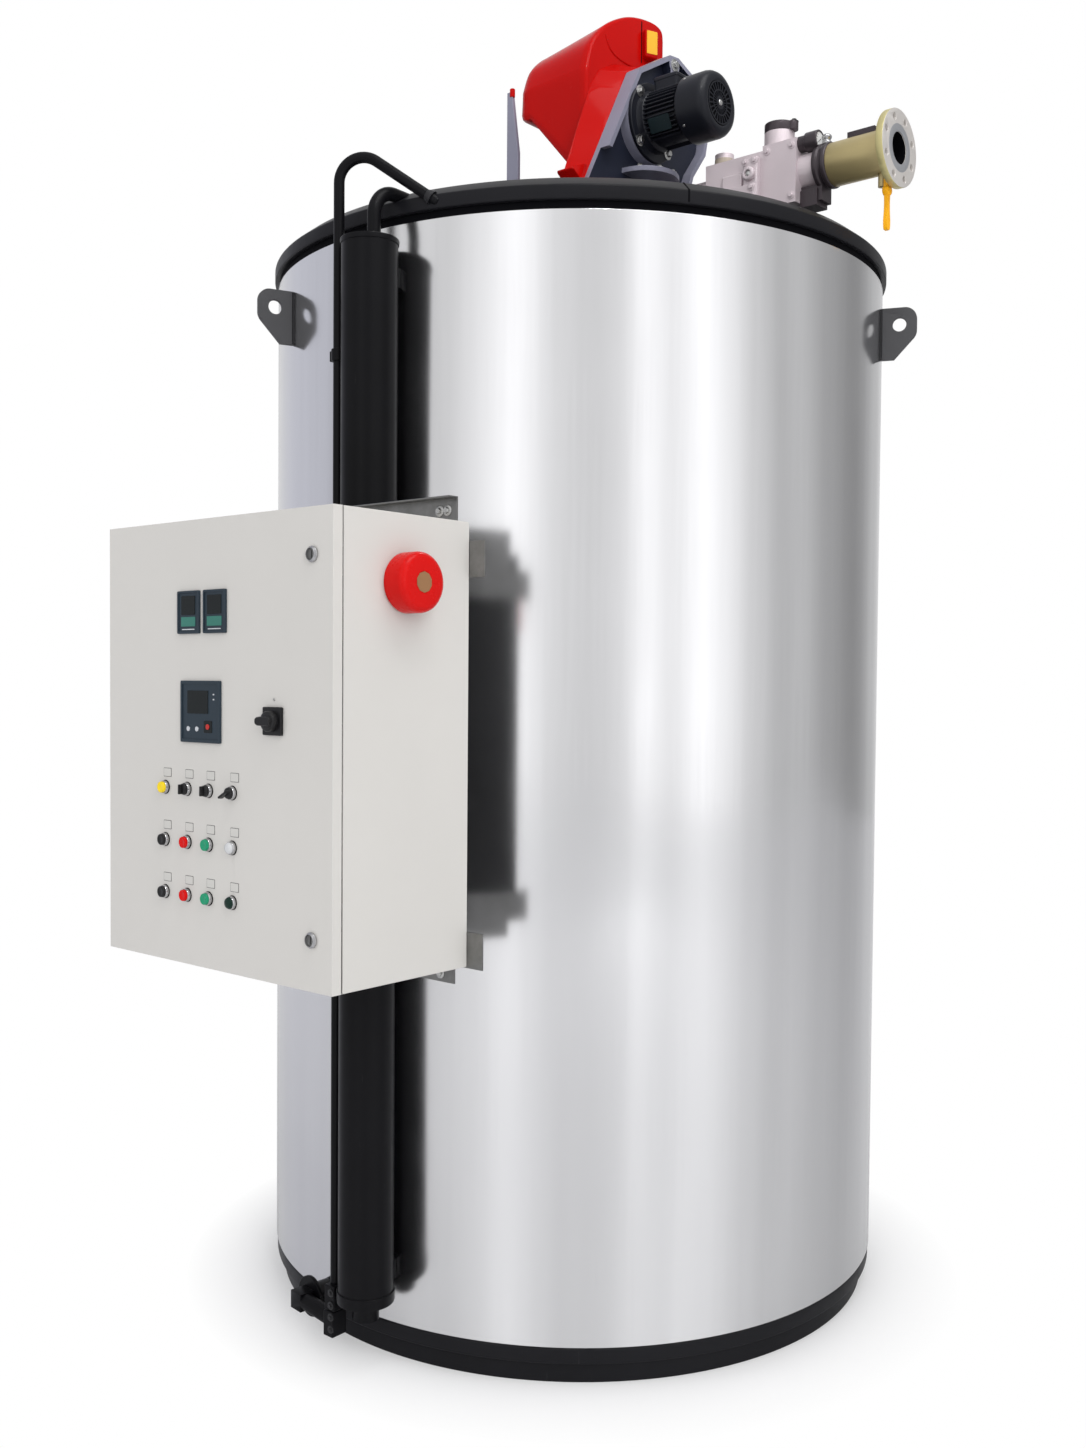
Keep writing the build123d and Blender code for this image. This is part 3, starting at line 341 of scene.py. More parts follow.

# %% Paints, castings and plastics
# Each is a finish, the slot it belongs to, a name and a colour. Then come roughness, tone, grain, dust with painted
# top light, scratches, bump and specular level, and last metallic, coat and depth of relief where they differ from the
# usual.
PAINT_RELIEF = 0.0004
COAT_ROUGHNESS = 0.08
PAINTS = (
    ("black_paint", "black_paint", "black enamel", (0.010, 0.010, 0.012), 0.36, 0.15, 500, 0.045, 0.05, 0.12, 0.12),
    ("gap_black", "black_paint", "shadowed gap", (0.003, 0.003, 0.004), 0.7, 0.1, 500, 0, 0, 0.1, 0.05),
    ("pipe_black", "black_paint", "pipe enamel", (0.004, 0.004, 0.005), 0.32, 0.3, 380, 0.01, 0.03, 0.25, 0.12),
    ("lug_grey", "black_paint", "lug paint", (0.070, 0.070, 0.074), 0.45, 0.2, 500, 0.04, 0.1, 0.3, 0.3),
    ("dark_bolt", "black_paint", "oiled bolt", (0.020, 0.020, 0.022), 0.38, 0.2, 500, 0.03, 0.05, 0.2, 0.3),
    ("weld_grey", "black_paint", "painted weld", (0.012, 0.012, 0.014), 0.35, 0.3, 220, 0, 0.1, 0.8, 0.3, 0, 0, 0.0012),
    ("cabinet_paint", "cabinet_paint", "cabinet powder coat", (0.62, 0.605, 0.575), 0.45, 0.015, 1400, 0.02, 0, 0.2,
     0.25),
    # A dark grey for the cabinet's back: painted shade, so that its mirror image in the jacket comes out dark.
    ("cabinet_back", "cabinet_paint", "cabinet back", (0.045, 0.045, 0.047), 0.55, 0.1, 500, 0.02, 0.05, 0.2, 0.2),
    ("tag_white", "cabinet_paint", "engraved tag", (0.60, 0.59, 0.56), 0.40, 0.02, 900, 0, 0, 0.15, 0.3),
    ("tag_line", "cabinet_paint", "tag outline", (0.07, 0.07, 0.07), 0.50, 0.02, 900, 0, 0, 0.15, 0.5),
    ("red_gloss", "red_gloss", "burner red", (0.45, 0.003, 0.002), 0.22, 0.06, 300, 0, 0.01, 0.10, 0.05, 0, 0.10),
    ("burner_grey", "burner_grey", "burner grey", (0.085, 0.09, 0.125), 0.45, 0.15, 420, 0.04, 0.05, 0.30, 0.3),
    # Lit and shaded copies of the burner grey: a painted-light pale grey and a painted-shade navy.
    ("pale_grey", "burner_grey", "casting grey", (0.22, 0.22, 0.285), 0.40, 0.12, 420, 0.04, 0.1, 0.30, 0.4),
    ("deep_navy", "burner_grey", "casting navy", (0.014, 0.017, 0.032), 0.42, 0.2, 420, 0.03, 0.05, 0.3, 0.25),
    ("motor_black", "motor_black", "motor black", (0.009, 0.010, 0.015), 0.36, 0.2, 600, 0.03, 0.04, 0.2, 0.25),
    ("plate_green", "motor_black", "blank plate", (0.010, 0.020, 0.023), 0.35, 0.15, 600, 0, 0.1, 0.15, 0.3),
    ("cast_aluminium", "cast_aluminium", "sand-cast alloy", (0.66, 0.58, 0.61), 0.50, 0.10, 260, 0, 0, 0.5, 0.5, 0.35,
     0, 0.0005),
    ("plug_beige", "cast_aluminium", "beige plug", (0.42, 0.36, 0.29), 0.55, 0.12, 300, 0, 0, 0.3, 0.5),
    ("yellow_zinc", "yellow_zinc", "yellow passivate", (0.50, 0.41, 0.20), 0.36, 0.12, 300, 0.02, 0.05, 0.15, 0.5,
     0.55),
    ("flange_steel", "flange_steel", "turned steel", (0.64, 0.61, 0.58), 0.42, 0.06, 500, 0, 0.10, 0.15, 0.5, 0.45),
    ("gold_rim", "flange_steel", "yellow flange edge", (0.56, 0.50, 0.24), 0.40, 0.08, 400, 0, 0.05, 0.15, 0.5, 0.5),
    ("bore_steel", "flange_steel", "bored steel", (0.40, 0.41, 0.43), 0.35, 0.08, 400, 0, 0.05, 0.15, 0.5, 0.6),
    ("dark_iron", "dark_iron", "dark iron", (0.060, 0.048, 0.055), 0.34, 0.25, 320, 0.03, 0.12, 0.3, 0.5, 0.4),
    ("dial_white", "dark_iron", "dial face", (0.72, 0.72, 0.71), 0.35, 0.03, 600, 0, 0, 0.15, 0.5),
    ("black_plastic", "black_plastic", "black plastic", (0.008, 0.008, 0.009), 0.38, 0.1, 900, 0.02, 0.03, 0.15, 0.35),
    ("seal_black", "black_plastic", "foam seal", (0.010, 0.010, 0.010), 0.85, 0.2, 1500, 0.05, 0, 0.6, 0.1),
    ("instrument_case", "instrument_case", "slate plastic", (0.022, 0.036, 0.050), 0.45, 0.08, 900, 0.02, 0.02, 0.2,
     0.3),
    ("screen_black", "instrument_case", "display glass", (0.006, 0.009, 0.009), 0.16, 0.1, 200, 0, 0, 0.02, 0.3),
    ("key_green", "instrument_case", "green key pad", (0.045, 0.19, 0.15), 0.45, 0.1, 700, 0, 0, 0.15, 0.25),
    ("key_white", "instrument_case", "white key", (0.55, 0.57, 0.60), 0.45, 0.05, 700, 0, 0, 0.15, 0.5),
    ("key_red", "instrument_case", "red key", (0.50, 0.02, 0.015), 0.45, 0.05, 700, 0, 0, 0.15, 0.5),
    ("red_plastic", "red_plastic", "red plastic", (0.62, 0.005, 0.004), 0.26, 0.05, 700, 0, 0.02, 0.1, 0.1, 0, 0.12),
    ("sounder_tan", "red_plastic", "sounder membrane", (0.36, 0.18, 0.075), 0.55, 0.25, 300, 0.05, 0, 0.15, 0.5),
    ("green_plastic", "green_plastic", "green plastic", (0.008, 0.28, 0.14), 0.28, 0.05, 700, 0.02, 0.02, 0.1, 0.25, 0,
     0.2),
    ("yellow_plastic", "yellow_plastic", "yellow plastic", (0.90, 0.66, 0.01), 0.32, 0.05, 700, 0, 0.02, 0.1, 0.25, 0,
     0.2),
    ("label_yellow", "yellow_plastic", "yellow plate", (0.76, 0.40, 0.02), 0.40, 0.06, 500, 0, 0.05, 0.15, 0.3),
    ("lever_yellow", "yellow_plastic", "dipped lever", (0.90, 0.42, 0.005), 0.40, 0.08, 400, 0, 0.03, 0.2, 0.3),
    ("lamp_lens", "lamp_lens", "clear lens", (0.74, 0.76, 0.78), 0.12, 0.03, 300, 0, 0, 0.1, 0.5, 0, 0.8),
    ("green_lens", "lamp_lens", "green lens", (0.003, 0.022, 0.015), 0.15, 0.05, 400, 0, 0, 0.05, 0.2, 0, 0.1),
    ("white_lens", "lamp_lens", "milk lens", (0.60, 0.61, 0.62), 0.22, 0.03, 400, 0, 0, 0.05, 0.5, 0, 0.5),
    ("wire_grey", "galvanised", "duct plastic", (0.42, 0.43, 0.44), 0.55, 0.05, 600, 0.05, 0, 0.15, 0.5))
for key, slot, name, colour, rough, tone, grain, dust_and_top_light, scratches, bump, specular, *rest in PAINTS:
    metallic, coat, relief = (rest + [0.0, 0.0, PAINT_RELIEF][len(rest):])
    values = {"Colour": (*colour, 1), "Roughness": rough, "Tone": tone, "Grain Scale": grain, "Dust And Top Light": dust_and_top_light,
              "Scratches": scratches}
    FINISH[key] = new_finish(name, SKIN, values, bump, relief, Metallic=metallic, Specular_IOR_Level=specular,
                         Coat_Weight=coat, Coat_Roughness=COAT_ROUGHNESS)
SLOT_OF = {row["node"]: row["material_slot"] for row in frame["record"]["subparts"]}
BODY_OF = {node: item["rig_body"] for node, item in NODES.items()}
for node_name, item in NODES.items():
    item.data.materials.clear()
    item.data.materials.append(FINISH[SLOT_OF[node_name]])
print("finishes", len(FINISH))

# %% [markdown]
# ## Floor
# The floor is a large white slab. Close to the heater it shows the soft shadow under
# the base ring. Further out its material fades, by the distance from the heater, into
# the same plain white as the background, but only for the camera. The drum mirrors the
# floor too. There it lets through a part of the studio's bands, so that they run down
# the jacket to its foot. To all other light it is an ordinary painted floor.

# %% Floor
FLOOR_HALF = 14.0
FLOOR_COLOUR = (0.90, 0.90, 0.91, 1)
FLOOR_ROUGHNESS = 0.9
FADE_FROM = 0.90
FADE_TO = 1.16
FADE_START = 0.35
SEE_THROUGH = 0.6
floor_mesh = bpy.data.meshes.new("floor")
floor_mesh.from_pydata([(x * FLOOR_HALF, y * FLOOR_HALF, 0) for x, y in ((-1, -1), (1, -1), (1, 1), (-1, 1))], [],
                       [(0, 1, 2, 3)])
floor = placed("floor", floor_mesh)
floor_finish, tree, shader = start_material("studio floor")
for socket, value in (("Base Color", FLOOR_COLOUR), ("Roughness", FLOOR_ROUGHNESS), ("Specular IOR Level", 0.0)):
    shader.inputs[socket].default_value = value
distance = add(tree, "ShaderNodeVectorMath", {0: object_place(tree)}, operation="LENGTH").outputs["Value"]
fade = stretch(tree, distance, FADE_FROM, FADE_TO, FADE_START, 1.0)
ray = add(tree, "ShaderNodeLightPath").outputs
faded = mix_shaders(tree, product(tree, fade, ray["Is Camera Ray"]), shader, add(tree, "ShaderNodeEmission"))
mirrored = mix_shaders(tree, product(tree, SEE_THROUGH, ray["Is Glossy Ray"]), faded,
                       add(tree, "ShaderNodeBsdfTransparent"))
tree.links.new(mirrored.outputs[0], tree.nodes["Material Output"].inputs["Surface"])
floor_mesh.materials.append(floor_finish)
print("floor", 2 * FLOOR_HALF)

# %% [markdown]
# ## Mesh tools
# Nearly everything here is turned, bent from tube or plate, or cast and then eased at
# its edges. So there is one tool for each way of making: a lathe, a pipe bender, a
# press that lofts between outlines, and a file that takes the sharpness off an edge.


# %% Outlines
def span(node):
    """A node's lowest and highest corners as vectors."""
    low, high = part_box(node)
    return Vector(low), Vector(high)


def polar(angle, radius=1.0, z=0.0):
    """A point at an angle about the frame's upright axis."""
    return Vector((radius * math.cos(angle), radius * math.sin(angle), z))


def rectangle(low_x, low_y, high_x, high_y):
    return [(low_x, low_y), (high_x, low_y), (high_x, high_y), (low_x, high_y)]


def centred(width, height):
    """A rectangle about the origin."""
    return rectangle(-width / 2, -height / 2, width / 2, height / 2)


def rounded(points, radius, steps=4):
    """A closed 2-D outline with each corner replaced by a short curve."""
    made = []
    for before, point, after in zip(points[-1:] + points[:-1], points, points[1:] + points[:1]):
        here = Vector(point)
        back = Vector(before) - here
        on = Vector(after) - here
        reach = min(radius, back.length * 0.45, on.length * 0.45)
        start = here + back.normalized() * reach
        end = here + on.normalized() * reach
        for step in range(steps + 1):
            t = step / steps
            made.append(tuple(start * (1 - t) ** 2 + here * 2 * t * (1 - t) + end * t ** 2))
    return made


def curve_through(points, steps):
    """A smooth line through 2-D points, whose end points are doubled to hold its ends."""
    held = [Vector(p) for p in (points[0], *points, points[-1])]
    made = []
    for a, b, c, d in zip(held, held[1:], held[2:], held[3:]):
        for step in range(steps):
            t = step / steps
            made.append(tuple(0.5 * (2 * b + (c - a) * t + (2 * a - 5 * b + 4 * c - d) * t ** 2
                                     + (3 * b - a - 3 * c + d) * t ** 3)))
    return made + [tuple(points[-1])]


def circle(radius, steps, phase=0.0):
    return [tuple(polar(math.tau * i / steps + phase, radius).xy) for i in range(steps)]


# %% The lathe and the loft
AIM = {"z": Matrix.Identity(4), "x": Matrix.Rotation(math.pi / 2, 4, "Y"),
       "-y": Matrix.Rotation(math.pi / 2, 4, "X")}


def aimed(at, direction):
    """A place with its own Z along a frame axis or a vector."""
    if isinstance(direction, str):
        return Matrix.Translation(at) @ AIM[direction]
    return Matrix.Translation(at) @ Vector(direction).to_track_quat("Z", "Y").to_matrix().to_4x4()


def bridge(bm, rings):
    """Skins a list of vertex rings with quads, and closes the two ends with single faces."""
    for lower, upper in zip(rings, rings[1:]):
        for i in range(len(lower)):
            bm.faces.new((lower[i - 1], lower[i], upper[i], upper[i - 1]))
    bm.faces.new(list(reversed(rings[0])))
    bm.faces.new(rings[-1])


def lathe(bm, profile, at=(0, 0, 0), direction="z", steps=48, closed=True):
    """Turns a profile of (radius, height) pairs. An open profile has both ends capped."""
    place = aimed(at, direction)
    turns = [[bm.verts.new(place @ polar(math.tau * i / steps, r, z)) for r, z in profile] for i in range(steps)]
    for one, two in zip(turns, turns[1:] + turns[:1]):
        pairs = list(zip(one, two))
        if closed:
            pairs.append(pairs[0])
        for (a, b), (c, d) in zip(pairs, pairs[1:]):
            bm.faces.new((a, b, d, c))
    if not closed:
        bm.faces.new([turn[0] for turn in turns])
        bm.faces.new([turn[-1] for turn in reversed(turns)])
    return bm


def loft(bm, sections):
    """Skins a list of closed 3-D outlines that have equal numbers of points."""
    bridge(bm, [[bm.verts.new(point) for point in section] for section in sections])
    return bm


def prism(bm, outline, depth, place):
    """A straight extrusion of a 2-D outline along its own Z, put in place by a matrix."""
    return loft(bm, [[place @ Vector((x, y, z)) for x, y in outline] for z in (0.0, depth)])


def slab(bm, low, high):
    """A block between two corners."""
    return prism(bm, rectangle(*low[:2], *high[:2]), high[2] - low[2], Matrix.Translation((0, 0, low[2])))


# %% Bent paths and pipes
def bent_path(corners, bend, steps):
    """A centre line: straight runs with round bends at the corners between them."""
    path = [Vector(corners[0])]
    for a, b, c in zip(corners, corners[1:], corners[2:]):
        here = Vector(b)
        back = (Vector(a) - here).normalized()
        on = (Vector(c) - here).normalized()
        half = back.angle(on) / 2
        reach = bend / math.tan(half)
        centre = here + (back + on).normalized() * bend / math.sin(half)
        start = here + back * reach - centre
        end = here + on * reach - centre
        sweep = start.angle(end)
        for step in range(steps + 1):
            t = step / steps
            path.append(centre + (start * math.sin((1 - t) * sweep) + end * math.sin(t * sweep)) / math.sin(sweep))
    path.append(Vector(corners[-1]))
    return path


def pipe(bm, path, radius, sides):
    """A round tube along a centre line, its rings turned as little as possible from one to the next."""
    along = [(b - a).normalized() for a, b in zip(path, path[1:])]
    along.append(along[-1])
    side = along[0].orthogonal().normalized()
    rings = []
    for i, point in enumerate(path):
        heading = along[i] if i == 0 else (along[i] + along[i - 1]).normalized()
        side = (side - heading * side.dot(heading)).normalized()
        other = heading.cross(side)
        rings.append([bm.verts.new(point + (side * x + other * y) * radius) for x, y in circle(1.0, sides)])
    bridge(bm, rings)
    return bm


# %% Putting a piece in the scene
LARGE_FACE = 0.004
SMOOTH_ANGLE = 35.0
WELD_DISTANCE = 1e-6
CAD_WELD_DISTANCE = 2e-6
FLAT_ANGLE = math.radians(0.6)


def plain_mesh(piece):
    """Replaces a piece's mesh by what its modifiers make of it, and takes the modifiers off."""
    depsgraph = bpy.context.evaluated_depsgraph_get()
    depsgraph.update()
    result = bpy.data.meshes.new_from_object(piece.evaluated_get(depsgraph), preserve_all_data_layers=True,
                                             depsgraph=depsgraph)
    piece.modifiers.clear()
    piece.data = result


def flatten(mesh):
    """Gives each large flat face its own normal at every corner, so that no eased edge shades across it."""
    normals = [Vector(corner.vector) for corner in mesh.corner_normals]
    for face in mesh.polygons:
        if face.area > LARGE_FACE:
            for corner in face.loop_indices:
                normals[corner] = face.normal
    mesh.normals_split_custom_set(normals)


def mesh_of(bm, name):
    """A smooth-shaded mesh with its normals out, made from a bmesh that is done with."""
    bmesh.ops.recalc_face_normals(bm, faces=bm.faces)
    mesh = bpy.data.meshes.new(name)
    bm.to_mesh(mesh)
    bm.free()
    mesh.shade_smooth()
    return mesh


def make(name, bm, finish, body="root", nodes=(), ease=0.0, segments=2, crease=SMOOTH_ANGLE, weld=True):
    """Turns a bmesh into a finished piece: welded, normals out, edges eased, painted, and riding on its body."""
    if weld:
        bmesh.ops.remove_doubles(bm, verts=bm.verts, dist=WELD_DISTANCE)
    mesh = mesh_of(bm, name)
    piece = placed(name, mesh)
    mesh.materials.append(FINISH[finish])
    if ease:
        bevel = piece.modifiers.new("ease", "BEVEL")
        bevel.width = ease
        bevel.segments = segments
        bevel.limit_method = "ANGLE"
        bevel.angle_limit = math.radians(crease)
        bevel.harden_normals = True
        plain_mesh(piece)
        flatten(piece.data)
    else:
        mesh.set_sharp_from_angle(angle=math.radians(crease))
    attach(piece, body)
    if nodes:
        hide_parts(*nodes)
    return piece


def soften(node, width, segments=2, finish=None):
    """A finished copy of a CAD node: its triangles merged into true faces and its edges eased."""
    bm = bmesh.new()
    bm.from_mesh(NODES[node].data)
    bmesh.ops.remove_doubles(bm, verts=bm.verts, dist=CAD_WELD_DISTANCE)
    bmesh.ops.dissolve_limit(bm, angle_limit=FLAT_ANGLE, verts=bm.verts, edges=bm.edges)
    return make(node + "_finished", bm, finish or SLOT_OF[node], BODY_OF[node], (node,), width, segments, weld=False)


def repaint(piece, finish, picked):
    """Gives the faces that a test picks a second finish."""
    piece.data.materials.append(FINISH[finish])
    for face in piece.data.polygons:
        if picked(face):
            face.material_index = 1


def turned(name, finish, profile, at, direction, steps, closed=True, **rest):
    """A piece that is turned and nothing more."""
    return make(name, lathe(bmesh.new(), profile, at, direction, steps, closed), finish, **rest)


# %% [markdown]
# ## Fasteners
# Bolts, washers and screws repeat by the dozen. One geometry-nodes tree copies a
# master onto a cloud of points, each of which carries the direction it faces. The
# result is kept as a plain mesh, one for each group.

# %% The copying tree
TURN_SEED = 3
COPIES = bpy.data.node_groups.new("copies on points", "GeometryNodeTree")
for socket, kind in (("Geometry", "Geometry"), ("Master", "Object"), ("Finish", "Material")):
    COPIES.interface.new_socket(name=socket, in_out="INPUT", socket_type="NodeSocket" + kind)
COPIES.interface.new_socket(name="Geometry", in_out="OUTPUT", socket_type="NodeSocketGeometry")
given = COPIES.nodes.new("NodeGroupInput").outputs
master = add(COPIES, "GeometryNodeObjectInfo", {"Object": given["Master"]})
facing = add(COPIES, "GeometryNodeInputNamedAttribute", {"Name": "facing"}, data_type="FLOAT_VECTOR")
aligned = add(COPIES, "FunctionNodeAlignEulerToVector", {"Vector": facing.outputs["Attribute"]}, axis="Z")
turn = add(COPIES, "FunctionNodeRandomValue", {3: math.tau, "Seed": TURN_SEED}, data_type="FLOAT")
spin = add(COPIES, "ShaderNodeCombineXYZ", {"Z": turn.outputs[1]})
spun = add(COPIES, "FunctionNodeRotateEuler",
           {"Rotation": aligned.outputs["Rotation"], "Rotate By": spin.outputs[0]}, space="LOCAL")
scatter = add(COPIES, "GeometryNodeInstanceOnPoints", {
    "Points": given["Geometry"], "Instance": master.outputs["Geometry"], "Rotation": spun.outputs["Rotation"]})
realized = add(COPIES, "GeometryNodeRealizeInstances", {"Geometry": scatter.outputs["Instances"]})
painted = add(COPIES, "GeometryNodeSetMaterial",
              {"Geometry": realized.outputs["Geometry"], "Material": given["Finish"]})
add(COPIES, "NodeGroupOutput", {"Geometry": painted.outputs["Geometry"]})
COPIES_INPUT = {item.name: item.identifier for item in COPIES.interface.items_tree if item.in_out == "INPUT"}
print("tree", COPIES.name, len(COPIES.nodes))


# %% Masters and groups
def hex_bolt(across, head):
    """A master bolt head on its washer, standing up from zero."""
    foot = across * 0.16
    corner = across / math.sqrt(3)
    bm = lathe(bmesh.new(), [(across * 0.98, -across * 0.1), (across, foot * 0.7), (across * 0.9, foot)], steps=20,
               closed=False)
    sections = ((corner, foot), (corner, foot + head * 0.8), (corner * 0.86, foot + head), (corner * 0.5, foot + head))
    return loft(bm, [[(x, y, z) for x, y in circle(r, 6)] for r, z in sections])


def pan_screw(radius, height):
    """A master cross-head screw: a domed head with a shallow round recess."""
    profile = [(radius, -height), (radius, height * 0.3), (radius * 0.8, height * 0.85), (radius * 0.4, height),
               (radius * 0.34, height * 0.6)]
    return lathe(bmesh.new(), profile, steps=14, closed=False)


def copies(name, master, places, finish, body="root"):
    """Copies a master onto places, each a point and the way it faces, as one plain piece."""
    master_mesh = mesh_of(master, name + "_master")
    master_mesh.set_sharp_from_angle(angle=math.radians(SMOOTH_ANGLE))
    master_object = bpy.data.objects.new(name + "_master", master_mesh)
    mesh = bpy.data.meshes.new(name)
    mesh.from_pydata([tuple(point) for point, way in places], [], [])
    facing = mesh.attributes.new("facing", "FLOAT_VECTOR", "POINT")
    for item, (point, way) in zip(facing.data, places):
        item.vector = way
    piece = placed(name, mesh)
    modifier = piece.modifiers.new("copies", "NODES")
    modifier.node_group = COPIES
    modifier[COPIES_INPUT["Master"]] = master_object
    modifier[COPIES_INPUT["Finish"]] = FINISH[finish]
    plain_mesh(piece)
    bpy.data.objects.remove(master_object)
    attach(piece, body)
    print(name, len(places), "copies", len(piece.data.polygons), "faces")
    return piece


def on_circle(centre, way, radius, count, phase=0.0):
    """Places round a circle about a direction, all facing along it."""
    place = aimed(centre, way)
    facing = (place.to_3x3() @ Vector((0, 0, 1))).normalized()
    return [(place @ Vector((x, y, 0)), facing) for x, y in circle(radius, count, phase)]

# %% [markdown]
# ## The drum
# The jacket is a rolled stainless sheet, polished enough to mirror the room. A mirror
# shows every facet, so it is turned again here with many more steps than the CAD
# solid, and with eased rims. The black rings above and below are rolled from flat bar
# and sheet; their corners are rounded by the rolling and by the thick enamel.

# %% Jacket, plinth and rings
DRUM_STEPS = 256


def turned_ring(name, profile, ease, finish, node):
    """A ring about the drum's axis from a profile whose corners are rounded."""
    bm = lathe(bmesh.new(), rounded(profile, ease, 3), steps=DRUM_STEPS)
    return make(name, bm, finish, "root", (node,), crease=50)


jacket_low, jacket_high = span("casing")
jacket_radius = jacket_high.x
JACKET_WALL = 0.020
turned_ring("jacket", rectangle(jacket_radius - JACKET_WALL, jacket_low.z, jacket_radius, jacket_high.z), 0.0015,
            "stainless_sheet", "casing")

plinth_low, plinth_high = span("plinth_ring")
base_low, base_high = span("base_ring")
ring_width = 0.080
foot_groove = 0.006
turned_ring("plinth", rectangle(plinth_high.x - ring_width, plinth_low.z, plinth_high.x, plinth_high.z), 0.003,
            "black_paint", "plinth_ring")
turned_ring("base_skirt", [(base_high.x, base_low.z), (base_high.x, base_high.z - foot_groove),
                           (base_high.x - foot_groove, base_high.z), (base_high.x - ring_width, base_high.z),
                           (base_high.x - ring_width, base_low.z)], 0.003, "black_paint", "base_ring")
print("jacket radius", round(jacket_radius, 3))

# %% Top rings and lid
band_low, band_high = span("top_band")
crown_low, crown_high = span("top_ring")
lid_low, lid_high = span("top_plate")
lid_radius = lid_high.x
shoulder_inset = 0.040
shoulder_rise = 0.030
rim_top = crown_high.z - shoulder_rise
BAND_INSET = 0.004
# The band under the crown is near black as painted shade below the crown's overhang.
turned_ring("seal_band", rectangle(lid_radius, band_low.z, band_high.x - BAND_INSET, band_high.z), 0.002, "gap_black",
            "top_band")
turned_ring("crown", [(lid_radius, crown_low.z), (crown_high.x, crown_low.z), (crown_high.x, rim_top),
                      (crown_high.x - shoulder_inset, crown_high.z), (lid_radius, crown_high.z)],
            0.004, "black_paint", "top_ring")
JOINT_ANGLE = math.radians(-34.4)
JOINT_PROUD = 0.0008
JOINT_HALF = 0.0022
joint_line = [(crown_high.x + JOINT_PROUD, crown_low.z + 0.004), (crown_high.x + JOINT_PROUD, rim_top),
              (crown_high.x - shoulder_inset, crown_high.z + JOINT_PROUD), (crown_high.x - shoulder_inset, rim_top)]
bm = loft(bmesh.new(), [[polar(JOINT_ANGLE, r, z) + polar(JOINT_ANGLE + math.pi / 2, side) for r, z in joint_line]
                        for side in (-JOINT_HALF, JOINT_HALF)])
make("crown_joint", bm, "gap_black")
# A profile that reaches the axis stops this far short of it.
AXIS_HOLE = 0.0005
turned_ring("lid", rectangle(AXIS_HOLE, lid_low.z, lid_radius, lid_high.z), 0.0002, "black_paint", "top_plate")

LID_BOLTS = 32
lid_bolt_radius = lid_radius - 0.030
copies("lid_bolts", hex_bolt(0.024, 0.010), on_circle((0, 0, lid_high.z), "z", lid_bolt_radius, LID_BOLTS, 0.05),
       "dark_bolt")
print("lid radius", round(lid_radius, 3))

# %% [markdown]
# The jacket's sheet has to close on itself somewhere, and makers turn that joint to
# the back. A narrow cover strip with a row of blind rivets holds it.

# %% Jacket seam at the back
SEAM_ANGLE = math.radians(62.0)
SEAM_HALF = 0.018
SEAM_PROUD = 0.0012
SEAM_END = 0.01
RIVETS = 18
RIVET_END = 0.05
strip = [polar(SEAM_ANGLE + (step / 3 - 1) * SEAM_HALF / jacket_radius) for step in range(7)]
outline = [way * (jacket_radius + SEAM_PROUD) for way in strip] + [way * jacket_radius for way in reversed(strip)]
bm = loft(bmesh.new(), [[point + Vector((0, 0, z)) for point in outline]
                        for z in (jacket_low.z + SEAM_END, jacket_high.z - SEAM_END)])
make("jacket_seam", bm, "stainless_sheet")
rivet_pitch = (jacket_high.z - jacket_low.z - 2 * RIVET_END) / (RIVETS - 1)
copies("seam_rivets", pan_screw(0.0045, 0.0022),
       [(polar(SEAM_ANGLE, jacket_radius + SEAM_PROUD, jacket_low.z + RIVET_END + rivet_pitch * i),
         polar(SEAM_ANGLE)) for i in range(RIVETS)], "screw_steel")

# %% [markdown]
# ## Lifting lugs
# Each lug is a flame-cut plate welded to the frame behind the jacket. The edges are
# ground, and a run of weld shows down both sides of its foot.

# %% Lugs and their welds
LUGS = ("front_lug", "right_lug", "back_lug")
WELD_STEPS = 28
WELD_END = 0.004
WELD_SIDE = 0.0065
WELD_SIZE = 0.0042
WELD_RIPPLE = 0.18
for node in LUGS:
    soften(node, 0.0015, finish="lug_grey")
    low, high = span(node)
    middle = (low + high) / 2
    way = Vector((middle.x, middle.y, 0)).normalized()
    across = Vector((-way.y, way.x, 0))
    bm = bmesh.new()
    for side in (-WELD_SIDE, WELD_SIDE):
        rings = []
        for i in range(WELD_STEPS + 1):
            z = low.z + WELD_END + (high.z - low.z - 2 * WELD_END) * i / WELD_STEPS
            point = way * (jacket_radius + 0.001) + across * side + Vector((0, 0, z))
            size = WELD_SIZE * (1 + WELD_RIPPLE * math.cos(i * math.pi))
            rings.append([bm.verts.new(point + (way * x + across * y) * size) for x, y in circle(1.0, 8)])
        bridge(bm, rings)
    make(node + "_weld", bm, "weld_grey")
print("lugs", len(LUGS))

# %% [markdown]
# ## Header and small pipes
# The header is a length of heavy pipe with a pressed cap at its top. At its foot it
# stands in a shallow pan on a short neck. The riser is thin pipe bent cold, which
# keeps its roundness through the bend, so a centre line with true arcs and evenly
# carried rings stands for it.

